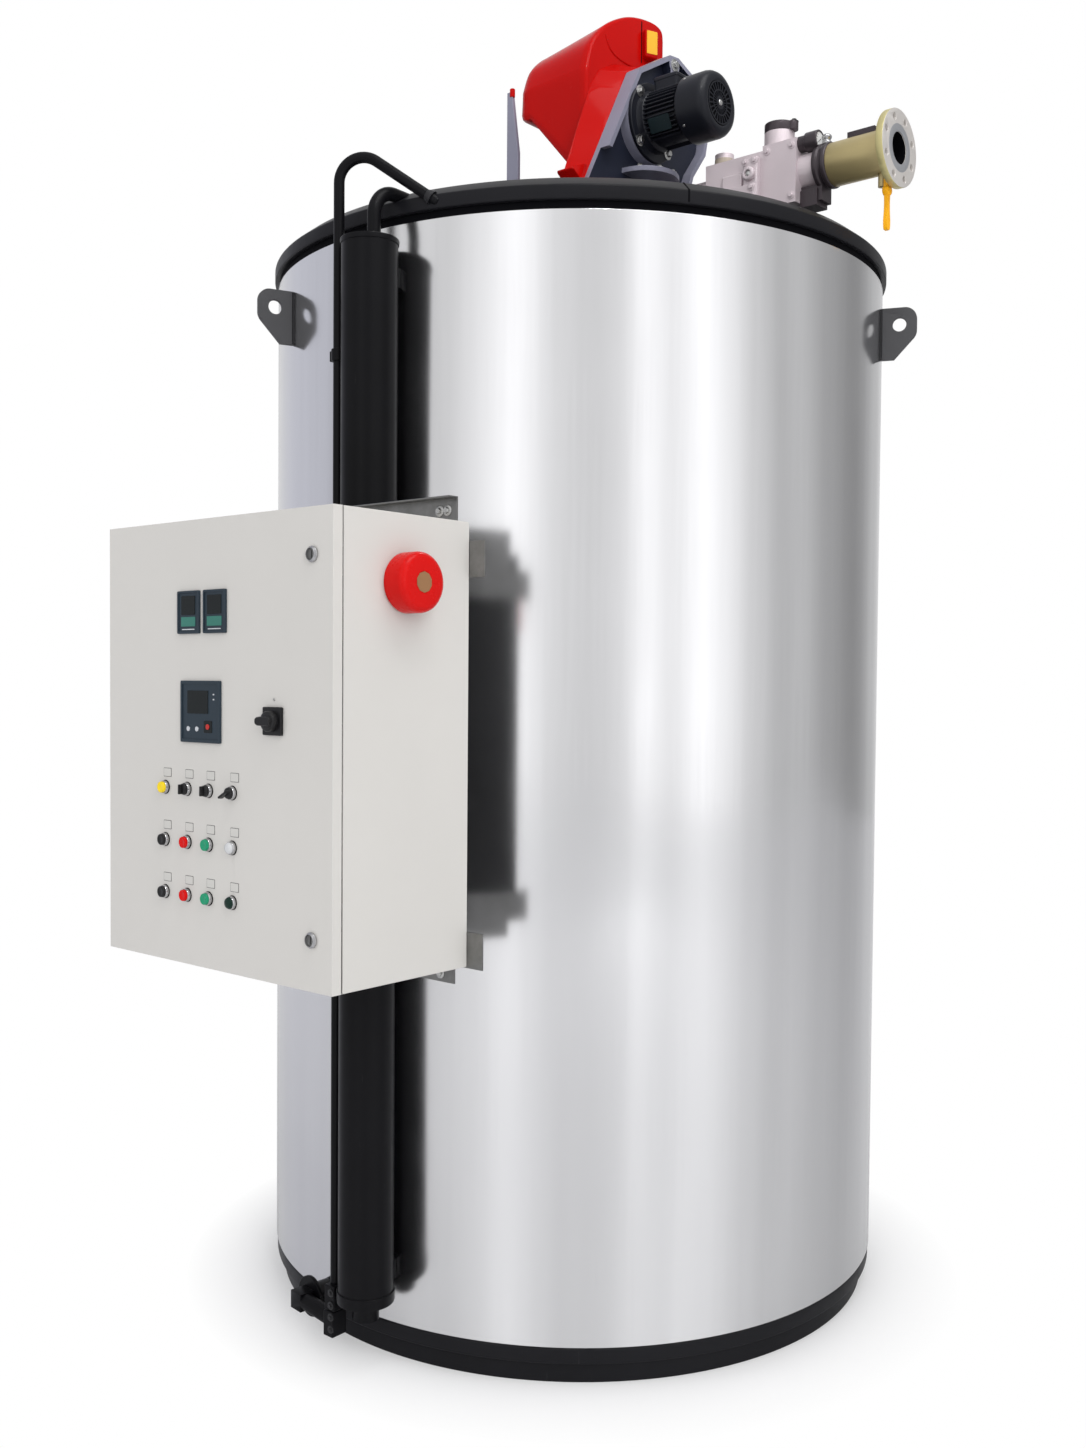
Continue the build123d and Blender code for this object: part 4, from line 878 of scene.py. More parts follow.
# %% Header pipe
header_low, header_high = span("header_pipe")
header_middle = (header_low + header_high) / 2
HEADER_RADIUS = 0.1397 / 2
HEADER_CAP_RADIUS = (header_high.x - header_low.x) / 2
HEADER_TOP = header_high.z - 0.040
HEADER_FOOT = header_low.z + 0.070
LIP = 0.014
PAN_HIGH = HEADER_FOOT + 0.004
PAN_LOW = HEADER_FOOT - 0.026
NECK_RADIUS = 0.034
HEADER_LINE = [(NECK_RADIUS, header_low.z), (NECK_RADIUS, PAN_LOW - 0.006), (NECK_RADIUS + 0.004, PAN_LOW),
               (HEADER_CAP_RADIUS - 0.006, PAN_LOW), (HEADER_CAP_RADIUS - 0.001, PAN_LOW + 0.002),
               (HEADER_CAP_RADIUS, PAN_LOW + 0.006), (HEADER_CAP_RADIUS, PAN_HIGH - 0.001),
               (HEADER_CAP_RADIUS - 0.001, PAN_HIGH), (HEADER_RADIUS, PAN_HIGH),
               (HEADER_RADIUS, HEADER_TOP - LIP), (HEADER_CAP_RADIUS - 0.001, HEADER_TOP - LIP + 0.001),
               (HEADER_CAP_RADIUS, HEADER_TOP - 0.004), (HEADER_CAP_RADIUS - 0.001, HEADER_TOP - 0.001),
               (HEADER_CAP_RADIUS - 0.004, HEADER_TOP), (0.030, HEADER_TOP)]
turned("header", "pipe_black", HEADER_LINE, (header_middle.x, header_middle.y, 0), "z", 72, False,
       nodes=("header_pipe",), crease=40)
print("header", round(HEADER_TOP - HEADER_FOOT, 3), "long")

# %% [markdown]
# Two pieces of tube leave the header's end: the riser runs up beside it and over into
# the crown, and a short vent leaves the cap and bends over the crown's rim. Both
# follow the CAD's route.

# %% Riser and vent
riser_low, riser_high = span("riser_pipe")
RISER_RADIUS = 0.0269 / 2
RISER_BEND = 0.060
riser_x = riser_low.x + RISER_RADIUS
riser_y = riser_low.y + RISER_RADIUS
RISER_END_ANGLE = math.radians(-74.0)
riser_corner_z = rim_top + 0.154
end = polar(RISER_END_ANGLE, jacket_radius, crown_low.z + 0.017)
route = bent_path([(riser_x, riser_y, riser_low.z), (riser_x, riser_y, riser_corner_z), end], RISER_BEND, 20)
make("riser", pipe(bmesh.new(), route, RISER_RADIUS, 28), "pipe_black", nodes=("riser_pipe",))
vent_low, vent_high = span("vent_pipe")
VENT_RADIUS = 0.0337 / 2
VENT_BEND = 0.070
VENT_END_ANGLE = math.radians(-81.238)
VENT_END_RADIUS = 0.870
vent_start = Vector((vent_high.x - VENT_RADIUS, vent_low.y + VENT_RADIUS, HEADER_TOP - 0.002))
vent_corner = Vector((vent_start.x, vent_start.y, vent_high.z - VENT_RADIUS))
vent_end = polar(VENT_END_ANGLE, VENT_END_RADIUS, vent_corner.z)
make("vent", pipe(bmesh.new(), bent_path([vent_start, vent_corner, vent_end], VENT_BEND, 16), VENT_RADIUS, 28),
     "pipe_black", nodes=("vent_pipe",))
print("riser top", round(riser_high.z, 3), "vent from", [round(c, 3) for c in vent_start])

# %% [markdown]
# The riser is held to the header by a two-part clip, and a low weld collar closes the
# hole where it enters the crown. At its foot it stands on a pair of square flanges,
# and a drain pipe runs from there along the base ring to a blind flange.

# %% Clip and collar
CLIP_Z = 2.545
bm = lathe(bmesh.new(), rectangle(RISER_RADIUS, CLIP_Z - 0.015, RISER_RADIUS + 0.005, CLIP_Z + 0.015),
           (riser_x, riser_y, 0), steps=28)
slab(bm, (riser_x + RISER_RADIUS, riser_y - 0.004, CLIP_Z - 0.011),
     (header_middle.x - 0.055, riser_y + 0.004, CLIP_Z + 0.011))
slab(bm, (riser_x - RISER_RADIUS - 0.014, riser_y - 0.006, CLIP_Z - 0.013),
     (riser_x - RISER_RADIUS, riser_y + 0.006, CLIP_Z + 0.013))
make("riser_clip", bm, "pipe_black", ease=0.0015)
heading = (route[-1] - route[-2]).normalized()
turned("riser_collar", "weld_grey",
       rounded([(RISER_RADIUS - 0.001, -0.036), (RISER_RADIUS + 0.0015, -0.034), (RISER_RADIUS + 0.006, -0.018),
                (RISER_RADIUS - 0.001, -0.018)], 0.001, 2), end, heading, 24)
print("clip at", CLIP_Z)

# %% Foot flanges and drain
for node in ("drain_stub", "drain_pipe", "header_brackets"):
    soften(node, 0.0015, 2, finish="pipe_black")
flanges_low, flanges_high = span("riser_foot_flanges")
FLANGE_SPLIT = (flanges_low.z + flanges_high.z) / 2 + 0.032
bm = bmesh.new()
slab(bm, (flanges_low.x, riser_y - 0.026, FLANGE_SPLIT - 0.066),
     (flanges_high.x, riser_y + 0.022, FLANGE_SPLIT - 0.001))
slab(bm, (flanges_low.x + 0.002, riser_y - 0.024, FLANGE_SPLIT + 0.001),
     (flanges_high.x + 0.003, riser_y + 0.022, FLANGE_SPLIT + 0.064))
make("foot_flanges", bm, "pipe_black", nodes=("riser_foot_flanges",), ease=0.003, segments=3)
copies("foot_bolts", hex_bolt(0.010, 0.005),
       [((flanges_high.x - 0.008, riser_y - 0.025, FLANGE_SPLIT + z), (0, -1, 0))
        for z in (-0.045, -0.014, 0.016, 0.048)], "dark_bolt")
print("flanges part at", round(FLANGE_SPLIT, 3))

# %% [markdown]
# ## Control cabinet
# The cabinet is folded from 2 mm sheet and powder coated. Folds have a radius of
# about the sheet's thickness, and it is this thin bright line round each edge that
# says sheet metal, so every edge is eased by that much.

# %% Cabinet and door
for width, segments, nodes in ((0.0022, 3, ("cabinet_body", "door_panel")),
                               (0.0008, 2, ("cabinet_rails", "cabinet_arms")),
                               (0.0006, 1, ("mounting_plate", "hinge_leaves", "door_hinges"))):
    for node in nodes:
        soften(node, width, segments)
door_low, door_high = span("door_panel")
body_high = span("cabinet_body")[1]
BACK_REACH = 0.003
# The back faces of the cabinet get that dark grey as painted shade.
repaint(bpy.data.objects["cabinet_body_finished"], "cabinet_back",
        lambda face: face.normal.y > 0.9 and face.center.y > body_high.y - BACK_REACH)
FACE_Y = door_low.y
bm = bmesh.new()
SEAL_INSET = 0.014
SEAL_RADIUS = 0.004
outer = rectangle(door_low.x + SEAL_INSET, door_low.z + SEAL_INSET, door_high.x - SEAL_INSET,
                  door_high.z - SEAL_INSET)
path = [Vector((x, door_high.y - SEAL_RADIUS, z)) for x, z in outer]
for a, b in zip(path, path[1:] + path[:1]):
    pipe(bm, [a, b], SEAL_RADIUS, 8)
make("door_seal", bm, "seal_black", "door")
print("door face at", round(FACE_Y, 4))


# %% [markdown]
# ## On the door
# Locks, instruments and buttons are bought pieces, each with its own way of meeting
# the sheet: a turned rim, a moulded bezel or a threaded ring. They are laid out in
# the plane of the door, so one small function turns door coordinates into the frame.

# %% Locks
def on_face(x, z, proud=0.0):
    """A point in front of the door's face, from its place in the frame and how far it stands proud."""
    return Vector((x, FACE_Y - proud, z))


lock_low, lock_high = span("door_locks")
lock_x = (lock_low.x + lock_high.x) / 2
lock_radius = (lock_high.x - lock_low.x) / 2
LOCK_BORE = 0.0125
bm = bmesh.new()
inner = bmesh.new()
for z in (lock_low.z + lock_radius, lock_high.z - lock_radius):
    lathe(bm, rounded([(LOCK_BORE, 0.0), (lock_radius, 0.0), (lock_radius, 0.0045), (lock_radius - 0.004, 0.0085),
                       (LOCK_BORE, 0.0085)], 0.0012), on_face(lock_x, z), "-y", 40)
    lathe(inner, [(LOCK_BORE, 0.0), (LOCK_BORE, 0.004), (0.006, 0.0045)], on_face(lock_x, z), "-y", 24, closed=False)
    prism(inner, centred(0.003, 0.016), 0.002, aimed(on_face(lock_x, z, 0.0045), "-y"))
make("lock_rims", bm, "chrome_trim", "door", ("door_locks",))
make("lock_cores", inner, "galvanised", "door", ease=0.0004)
print("locks at", round(lock_x, 3))

# %% [markdown]
# Controllers have a dark case with a raised frame, a black display window and a row
# of keys below it. Lettering is left off, and plain shapes stand for the keys.


# %% Controllers
DISH_DEPTH = 0.0022


def framed_case(bm, x, z, width, height, proud, border):
    """A bezel with a raised frame and a shallow dish behind it."""
    place = aimed(on_face(x, z), "-y")
    full = rounded(centred(width, height), 0.003, 3)
    inset = [(px * (1 - 2 * border / width), pz * (1 - 2 * border / height)) for px, pz in full]
    sections = ((full, 0.0), (full, proud - 0.001), ([(px * 0.985, pz * 0.985) for px, pz in full], proud),
                (inset, proud), (inset, proud - DISH_DEPTH))
    return loft(bm, [[place @ Vector((px, pz, depth)) for px, pz in outline] for outline, depth in sections])


def plate_on(bm, x, z, width, height, start, thick, corner=0.0015):
    """A thin plate in front of the door's face, with its corners rounded."""
    return prism(bm, rounded(centred(width, height), corner, 2), thick, aimed(on_face(x, z, start), "-y"))


cases = bmesh.new()
screens = bmesh.new()
greens = bmesh.new()
whites = bmesh.new()
reds = bmesh.new()
pair_low, pair_high = span("temperature_controllers")
pair_z = (pair_low.z + pair_high.z) / 2
CASE_PROUD = FACE_Y - pair_low.y
PAIR_WIDTH = 0.080
DISH_PROUD = CASE_PROUD - DISH_DEPTH
pair_height = pair_high.z - pair_low.z
for x in (pair_low.x + PAIR_WIDTH / 2, pair_high.x - PAIR_WIDTH / 2):
    framed_case(cases, x, pair_z, PAIR_WIDTH, pair_height, CASE_PROUD, 0.005)
    plate_on(screens, x, pair_high.z - 0.34 * pair_height, 0.050, 0.44 * pair_height, DISH_PROUD, 0.0012)
    plate_on(greens, x, pair_high.z - 0.72 * pair_height, 0.052, 0.22 * pair_height, DISH_PROUD, 0.001)
    plate_on(whites, x, pair_high.z - 0.90 * pair_height, 0.046, 0.0022, DISH_PROUD, 0.0006, 0.0008)
print("two controllers", round(pair_height, 4), "high")

# %% The burner's controller
big_low, big_high = span("burner_controller")
big = (big_low + big_high) / 2
big_width = big_high.x - big_low.x
big_height = big_high.z - big_low.z
framed_case(cases, big.x, big.z, big_width, big_height, CASE_PROUD, 0.007)


def on_big(across, down):
    """A point of the burner controller's face, from its shares of the width and of the height from the top."""
    return big_low.x + across * big_width, big_high.z - down * big_height


def round_key(bm, across, down, radius, thick):
    prism(bm, circle(radius, 20), thick, aimed(on_face(*on_big(across, down), DISH_PROUD), "-y"))


plate_on(screens, *on_big(0.44, 0.345), 0.52 * big_width, 0.37 * big_height, DISH_PROUD, 0.0012)
plate_on(screens, *on_big(0.70, 0.74), 0.20 * big_width, 0.19 * big_height, DISH_PROUD, 0.0010)
for share in (0.22, 0.30):
    plate_on(whites, *on_big(0.84, share), 0.005, 0.003, DISH_PROUD, 0.0008, 0.0006)
for share in (0.20, 0.42):
    round_key(whites, share, 0.78, 0.0055, 0.0016)
round_key(reds, 0.70, 0.74, 0.0060, 0.0026)
CASE_BEHIND = 0.055
CASE_INSET = 0.004
for left, right, low, high in ((pair_low.x, pair_low.x + PAIR_WIDTH, pair_low.z, pair_high.z),
                               (pair_high.x - PAIR_WIDTH, pair_high.x, pair_low.z, pair_high.z),
                               (big_low.x, big_high.x, big_low.z, big_high.z)):
    slab(cases, (left + CASE_INSET, FACE_Y, low + CASE_INSET),
         (right - CASE_INSET, FACE_Y + CASE_BEHIND, high - CASE_INSET))
make("controller_cases", cases, "instrument_case", "door", ("temperature_controllers", "burner_controller"),
     crease=30)
for name, bm, finish in (("controller_screens", screens, "screen_black"), ("controller_pads", greens, "key_green"),
                         ("controller_keys", whites, "key_white"), ("controller_stops", reds, "key_red")):
    make(name, bm, finish, "door")
print("controllers", round(CASE_PROUD, 4))

# %% [markdown]
# Each button is a chromed ring screwed down on the sheet with a black seal, a coloured
# cap that slides in it, and a block of contacts behind. The ring is turned in steps,
# and its knurled edge is too fine to show at this size.

# %% Button rings, caps and lamps
ring_low, ring_high = span("button_bezels")
RING_RADIUS = 0.015
RING_BORE = 0.0131
CAP_RADIUS = RING_BORE - 0.0004
RING_HEIGHT = FACE_Y - ring_low.y
CONTACT_BACK = ring_high.y
PUSH_NODES = ("yellow_button", "upper_black_button", "upper_red_button", "upper_green_button", "lower_black_button",
              "lower_red_button", "lower_green_button")
TURN_NODES = ("left_selector", "middle_selector", "right_selector")


def face_centre(node):
    low, high = span(node)
    return (low.x + high.x) / 2, (low.z + high.z) / 2


columns = sorted(face_centre(node)[0] for node in ("upper_black_button", "upper_red_button", "upper_green_button"))
lamp_low, lamp_high = span("signal_lamps")
columns.append((lamp_low.x + lamp_high.x) / 2)
rows = [face_centre(node)[1] for node in ("yellow_button", "upper_black_button", "lower_black_button")]
rings = bmesh.new()
seals = bmesh.new()
backs = bmesh.new()
for x in columns:
    for z in rows:
        lathe(rings, rounded([(RING_BORE, 0.001), (RING_RADIUS, 0.001), (RING_RADIUS, RING_HEIGHT * 0.55),
                              (RING_RADIUS - 0.0012, RING_HEIGHT), (RING_BORE, RING_HEIGHT)], 0.0005, 2),
              on_face(x, z), "-y", 36)
        lathe(seals, rectangle(RING_BORE, 0.0, RING_RADIUS + 0.0012, 0.001), on_face(x, z), "-y", 28)
        slab(backs, (x - 0.014, FACE_Y + 0.002, z - 0.014), (x + 0.014, CONTACT_BACK, z + 0.014))
        slab(backs, (x - 0.010, FACE_Y + 0.012, z + 0.014), (x + 0.010, CONTACT_BACK - 0.004, z + 0.0149))
make("button_rings", rings, "chrome_trim", "door", ("button_bezels",), crease=30)
make("button_seals", seals, "seal_black", "door")
make("contact_blocks", backs, "black_plastic", "door", ease=0.0008)


def cap_profile(radius, height):
    """A flat cap with a rounded rim and a shallow dish in its face."""
    return [(radius, 0.0), (radius, height - 0.0016), (radius - 0.0005, height - 0.0006), (radius - 0.0016, height),
            (radius * 0.72, height), (radius * 0.62, height - 0.0005), (radius * 0.2, height - 0.0011)]


for node in PUSH_NODES:
    low, high = span(node)
    x, z = face_centre(node)
    finish = "black_plastic" if "black" in node else SLOT_OF[node]
    turned(node + "_cap", finish, cap_profile(CAP_RADIUS, high.y - low.y), (x, high.y, z), "-y", 40, False,
           body=BODY_OF[node], nodes=(node,), crease=50)
lens_height = lamp_high.y - lamp_low.y
for z, finish, nodes in ((rows[1], "white_lens", ("signal_lamps",)), (rows[2], "green_lens", ())):
    turned("lamp_" + finish, finish,
           [(CAP_RADIUS, 0.0), (CAP_RADIUS, lens_height * 0.72), (RING_BORE * 0.86, lens_height * 0.9),
            (RING_BORE * 0.55, lens_height * 0.98), (RING_BORE * 0.15, lens_height)],
           on_face(columns[3], z), "-y", 40, False, body="door", nodes=nodes, crease=60)
print("buttons", len(PUSH_NODES), "lamps", 2)

# %% [markdown]
# Selectors turn, so they carry a grip that the fingers can hold: a bar across a round
# skirt, wider at its middle. The main switch has a larger one on a square plate.


# %% Selectors and the main switch
def selector(node, skirt_radius, blade, reach, tail, direction):
    """A knob's skirt with a grip along a direction in the door's plane, as one piece on its own body."""
    low, high = span(node)
    foot = high.y
    height = high.y - low.y
    x, z = KNOB_CENTRE[node]
    bm = lathe(bmesh.new(), [(skirt_radius, 0.0), (skirt_radius, height * 0.50), (skirt_radius - 0.0010, height * 0.60),
                             (skirt_radius - 0.0030, height * 0.66), (skirt_radius * 0.3, height * 0.68)],
               (x, foot, z), "-y", 36, False)
    way = Vector((math.sin(direction), 0, math.cos(direction)))
    side = Vector((-way.z, 0, way.x))
    outline = rounded([(-tail, -blade * 0.42), (reach, -blade * 0.36), (reach, blade * 0.36), (-tail, blade * 0.42)],
                      blade * 0.4, 4)
    sections = []
    for depth, size in ((height * 0.55, 1.0), (height * 0.92, 0.92), (height, 0.76)):
        sections.append([Vector((x, foot - depth, z)) + way * along * (0.98 if size < 0.9 else 1.0) + side * wide * size
                         for along, wide in outline])
    loft(bm, sections)
    return make(node + "_grip", bm, "black_plastic", BODY_OF[node], (node,), crease=35)


plate_low, plate_high = span("main_switch_plate")
plate = (plate_low + plate_high) / 2
KNOB_CENTRE = {node: (columns[i + 1], rows[0]) for i, node in enumerate(TURN_NODES)}
KNOB_CENTRE["main_switch_knob"] = (plate.x, plate.z)
UP = 0.0
TO_LEFT = math.radians(-90.0)
LEANING = math.radians(180.0 + 62.0)
for node in TURN_NODES[:2]:
    selector(node, 0.0127, 0.0062, 0.0112, 0.0112, UP)
selector("right_selector", 0.0127, 0.0080, 0.0230, 0.0110, LEANING)
selector("main_switch_knob", 0.022, 0.0270, 0.0290, 0.018, TO_LEFT)
bm = bmesh.new()
plate_on(bm, plate.x, plate.z, plate_high.x - plate_low.x, plate_high.z - plate_low.z, 0.0,
         plate_high.y - plate_low.y, 0.003)
make("switch_plate", bm, "black_plastic", "door", ("main_switch_plate",), ease=0.0012)
copies("switch_screw", pan_screw(0.003, 0.0018), [(on_face(plate.x, plate_high.z + 0.016), (0, -1, 0))],
       "screw_steel", "door")
print("selectors", len(TURN_NODES), "and the main switch")

# %% [markdown]
# Small engraved tags sit above the buttons. The tags are kept and their wording is
# not: each is a bare plate with a thin outline.

# %% Tags above the buttons
TAG_WIDTH = 0.027
TAG_HEIGHT = 0.018
TAG_LIFT = 0.034
TAG_SHIFT = 0.008
TAG_BORDER = 0.0022
tags = bmesh.new()
lines = bmesh.new()
for x in columns:
    for z in rows:
        for bm, border, thick in ((tags, 0.0, 0.0008), (lines, TAG_BORDER, 0.0004)):
            plate_on(bm, x + TAG_SHIFT, z + TAG_LIFT, TAG_WIDTH + border, TAG_HEIGHT + border, 0.0, thick)
make("button_tags", tags, "tag_white", "door")
make("tag_outlines", lines, "tag_line", "door")

# %% [markdown]
# The sounder on the cabinet's side is a moulded red drum with a generous rim, and its
# membrane shows in the middle through a many-sided opening.

# %% Sounder
siren_low, siren_high = span("siren")
siren_middle = (siren_low + siren_high) / 2
siren_radius = (siren_high.z - siren_low.z) / 2
siren_depth = siren_high.x - siren_low.x
MEMBRANE_RADIUS = 0.0225
turned("sounder", "red_plastic",
       [(siren_radius - 0.004, 0.0), (siren_radius - 0.004, 0.006), (siren_radius, 0.007),
        (siren_radius, siren_depth - 0.016), (siren_radius - 0.002, siren_depth - 0.008),
        (siren_radius - 0.007, siren_depth - 0.002), (siren_radius - 0.014, siren_depth),
        (MEMBRANE_RADIUS + 0.001, siren_depth), (MEMBRANE_RADIUS, siren_depth - 0.0015)],
       (siren_low.x, siren_middle.y, siren_middle.z), "x", 64, False, nodes=("siren",), crease=50)
bm = prism(bmesh.new(), circle(MEMBRANE_RADIUS, 10), 0.0012,
           aimed((siren_high.x - 0.0014, siren_middle.y, siren_middle.z), "x"))
make("sounder_membrane", bm, "sounder_tan", ease=0.0003)
print("sounder radius", round(siren_radius, 3))

# %% [markdown]
# Behind the door there is a steel mounting plate, and it carries what such a cabinet
# needs: wiring ducts, rails and rows of contactors and terminals. They show when the
# door opens, and nothing of them reaches the instruments on the door.

# %% Switchgear
panel_low, panel_high = span("mounting_plate")
PANEL_Y = panel_low.y
ducts = bmesh.new()
rails = bmesh.new()
gear = bmesh.new()
terminals = bmesh.new()
DUCT_DEPTH = 0.060
left = panel_low.x + 0.03
right = panel_high.x - 0.03
for z in (panel_low.z + 0.05, panel_low.z + 0.32, panel_low.z + 0.60, panel_high.z - 0.05):
    slab(ducts, (left, PANEL_Y - DUCT_DEPTH, z - 0.02), (right, PANEL_Y, z + 0.02))
    slab(ducts, (left, PANEL_Y - DUCT_DEPTH - 0.003, z - 0.021), (right, PANEL_Y - DUCT_DEPTH, z + 0.021))
for z, sizes in ((panel_low.z + 0.185, (0.045,) * 12), (panel_low.z + 0.46, (0.072, 0.072, 0.072, 0.09, 0.09, 0.045)),
                 (panel_low.z + 0.74, (0.036,) * 10)):
    slab(rails, (left, PANEL_Y - 0.0075, z - 0.0175), (right, PANEL_Y, z + 0.0175))
    x = left + 0.02
    for i, width in enumerate(sizes):
        height = 0.040 if width == 0.045 else 0.038 + 0.1 * width
        target = terminals if len(sizes) == 12 else gear
        slab(target, (x + 0.001, PANEL_Y - 0.075, z - height), (x + width - 0.001, PANEL_Y - 0.0075, z + height))
        slab(target, (x + width * 0.3, PANEL_Y - 0.085, z - height * 0.5),
             (x + width * 0.7, PANEL_Y - 0.075, z + height * 0.5))
        x += width + 0.004
make("wiring_ducts", ducts, "wire_grey", ease=0.0012)
make("mounting_rails", rails, "galvanised", ease=0.0006)
make("contactors", gear, "black_plastic", ease=0.0015)
make("terminal_blocks", terminals, "key_white", ease=0.0010)
print("switchgear at", round(PANEL_Y, 3))

# %% [markdown]
# The carriers are pressed from galvanised sheet and bolted through. Two bolts show on
# the upper one beside the cabinet's edge, so bolts go there and at the arms.

# %% Carrier bolts
rail_low, rail_high = span("cabinet_rails")
places = [((x, body_high.y, rail_high.z - 0.030), (0, -1, 0))
          for x in (rail_high.x - 0.115, rail_high.x - 0.140, rail_low.x + 0.115, rail_low.x + 0.140)]
places += [((x, body_high.y, rail_low.z + 0.020), (0, -1, 0)) for x in (rail_high.x - 0.130, rail_low.x + 0.130)]
copies("carrier_bolts", hex_bolt(0.013, 0.006), places, "screw_steel")

# %% [markdown]
# ## The burner
# The burner's hood is a deep-drawn and painted shell. It has no flat edge anywhere:
# its crown curves from side to side, its nose is rounded, and it meets its flat face
# over a small radius. It is lofted here from one outline that changes along its
# length, with many thin sections at the nose and at the face where it turns quickly.

# %% Hood
hood_low = span("burner_hood")[0]
LID_Z = lid_high.z
HOOD_FACE_X = 0.150
HOOD_KNEE_X = 0.120
HOOD_NOSE = 0.058
HOOD_LEFT_X = hood_low.x + HOOD_NOSE
FACE_CURVE = ((-0.162, 0.560), (-0.136, 0.642), (-0.076, 0.711), (0.008, 0.764), (0.084, 0.793), (0.168, 0.8065),
              (0.212, 0.798), (0.221, 0.768))
LEFT_CURVE = ((-0.150, 0.560), (-0.124, 0.630), (-0.068, 0.682), (0.006, 0.716), (0.076, 0.730), (0.136, 0.728),
              (0.156, 0.706), (0.160, 0.690))
FACE_FOOT = 0.253
LEFT_FOOT = 0.470
FOOT_RISE = 0.016
NOSE_CENTRE = (0.005, 0.590)
FACE_CENTRE = (0.016, 0.560)
FACE_ROUND = 0.012


def hood_outline(share, foot):
    """The hood's outline between its left end (0) and its face (1), down to a foot height."""
    crown = [((1 - share) * a + share * c, (1 - share) * b + share * d)
             for (a, b), (c, d) in zip(LEFT_CURVE, FACE_CURVE)]
    line = curve_through(crown, 7)
    (back_y, back_z), (front_y, front_z) = crown[0], crown[-1]
    rise = foot + FOOT_RISE
    walls = [(front_y, front_z + (rise - front_z) * step / 8) for step in range(1, 8)]
    back = [(back_y, rise + (back_z - rise) * step / 8) for step in range(1, 8)]
    right_corner = [(front_y, rise), (front_y - 0.005, foot + 0.004), (front_y - FOOT_RISE, foot)]
    left_corner = [(back_y + FOOT_RISE, foot), (back_y + 0.005, foot + 0.004), (back_y, rise)]
    return line + walls + right_corner + left_corner + back


def shrunk(outline, amount, centre):
    """An outline drawn in towards a centre by about an amount."""
    made = []
    for y, z in outline:
        way = Vector((y - centre[0], z - centre[1]))
        made.append((y - way.x / way.length * amount, z - way.y / way.length * amount))
    return made


sections = []
left_outline = hood_outline(0.0, LEFT_FOOT)
for step in range(8):
    turn = math.radians(90 * step / 8)
    sections.append((HOOD_LEFT_X - HOOD_NOSE * math.cos(turn),
                     shrunk(left_outline, HOOD_NOSE * (1 - math.sin(turn)), NOSE_CENTRE)))
for step in range(17):
    x = HOOD_LEFT_X + (HOOD_KNEE_X - HOOD_LEFT_X) * step / 16
    share = (x - HOOD_LEFT_X) / (HOOD_FACE_X - HOOD_LEFT_X)
    sections.append((x, hood_outline(share, LEFT_FOOT + (FACE_FOOT - LEFT_FOOT) * step / 16)))
face_outline = hood_outline(1.0, FACE_FOOT)
for step in range(1, 6):
    turn = math.radians(90 * step / 5)
    sections.append((HOOD_FACE_X - FACE_ROUND * (1 - math.sin(turn)),
                     shrunk(face_outline, FACE_ROUND * (1 - math.cos(turn)), FACE_CENTRE)))
bm = loft(bmesh.new(), [[Vector((x, y, LID_Z + z)) for y, z in outline] for x, outline in sections])
make("hood", bm, "red_gloss", nodes=("burner_hood",), crease=40)
print("hood sections", len(sections), "of", len(face_outline), "points")

# %% [markdown]
# The face of the hood is pressed: a shallow bead runs round in an arc from the crown
# to the band, and an upright groove divides off the boss that carries a blank plate.

# %% Beads, boss and plate on the hood's face
BEAD_PROUD = 0.004
bm = bmesh.new()
bead_line = curve_through([(-0.072, 0.686), (-0.060, 0.662), (-0.040, 0.645), (0.000, 0.636), (0.043, 0.635),
                           (0.088, 0.640)], 6)
pipe(bm, [Vector((HOOD_FACE_X - 0.001, y, LID_Z + z)) for y, z in bead_line], BEAD_PROUD, 10)
make("hood_bead", bm, "red_gloss", crease=60)
BOSS_Y = 0.136
BOSS_WIDTH = 0.046
BOSS_TURN = math.radians(-24)
BOSS_HEIGHT = 0.086
BOSS_Z = LID_Z + 0.720
BOSS_PROUD = 0.026
boss_place = Matrix.Translation((HOOD_FACE_X, BOSS_Y, BOSS_Z)) @ Matrix.Rotation(BOSS_TURN, 4, "Z")
bm = bmesh.new()
boss = rounded(centred(BOSS_WIDTH, BOSS_HEIGHT), 0.010, 4)
sections = []
for depth, size in ((-0.016, 1.0), (BOSS_PROUD - 0.006, 1.0), (BOSS_PROUD - 0.002, 0.95), (BOSS_PROUD, 0.86)):
    sections.append([boss_place @ Vector((depth, y * size, z * size)) for y, z in boss])
loft(bm, sections)
make("label_boss", bm, "red_gloss", crease=50)
# A black strip in the groove beside the boss is painted shade.
groove_y = BOSS_Y - BOSS_WIDTH / 2 - 0.009
bm = slab(bmesh.new(), (HOOD_FACE_X - 0.006, groove_y - 0.0022, LID_Z + 0.662),
          (HOOD_FACE_X + 0.0006, groove_y + 0.0022, LID_Z + 0.786))
make("boss_groove", bm, "gap_black", ease=0.0005)
bm = prism(bmesh.new(), rounded(centred(0.036, 0.068), 0.003), 0.0015,
           boss_place @ Matrix.Translation((BOSS_PROUD - 0.0003, 0, 0.003)) @ Matrix.Rotation(math.pi / 2, 4, "X")
           @ Matrix.Rotation(math.pi / 2, 4, "Y"))
make("blank_plate", bm, "label_yellow", ease=0.0003)
print("boss at", round(BOSS_Z, 3))

# %% [markdown]
# The red band beside the hood is a second casting. It leaves the hood's face over a
# rounded shoulder, runs down beside the fan housing, and ends in a flared foot.

# %% Band and casting
soften("red_side_band", 0.014, 5)
# The casting's outer faces take the pale grey as painted light.
casting = soften("fan_casting", 0.0035, 3, finish="pale_grey")
PLATE_X = 0.232
RIM_DEPTH = 0.028
RIM_CENTRE = Vector((0.245, 0.05, LID_Z + 0.42))


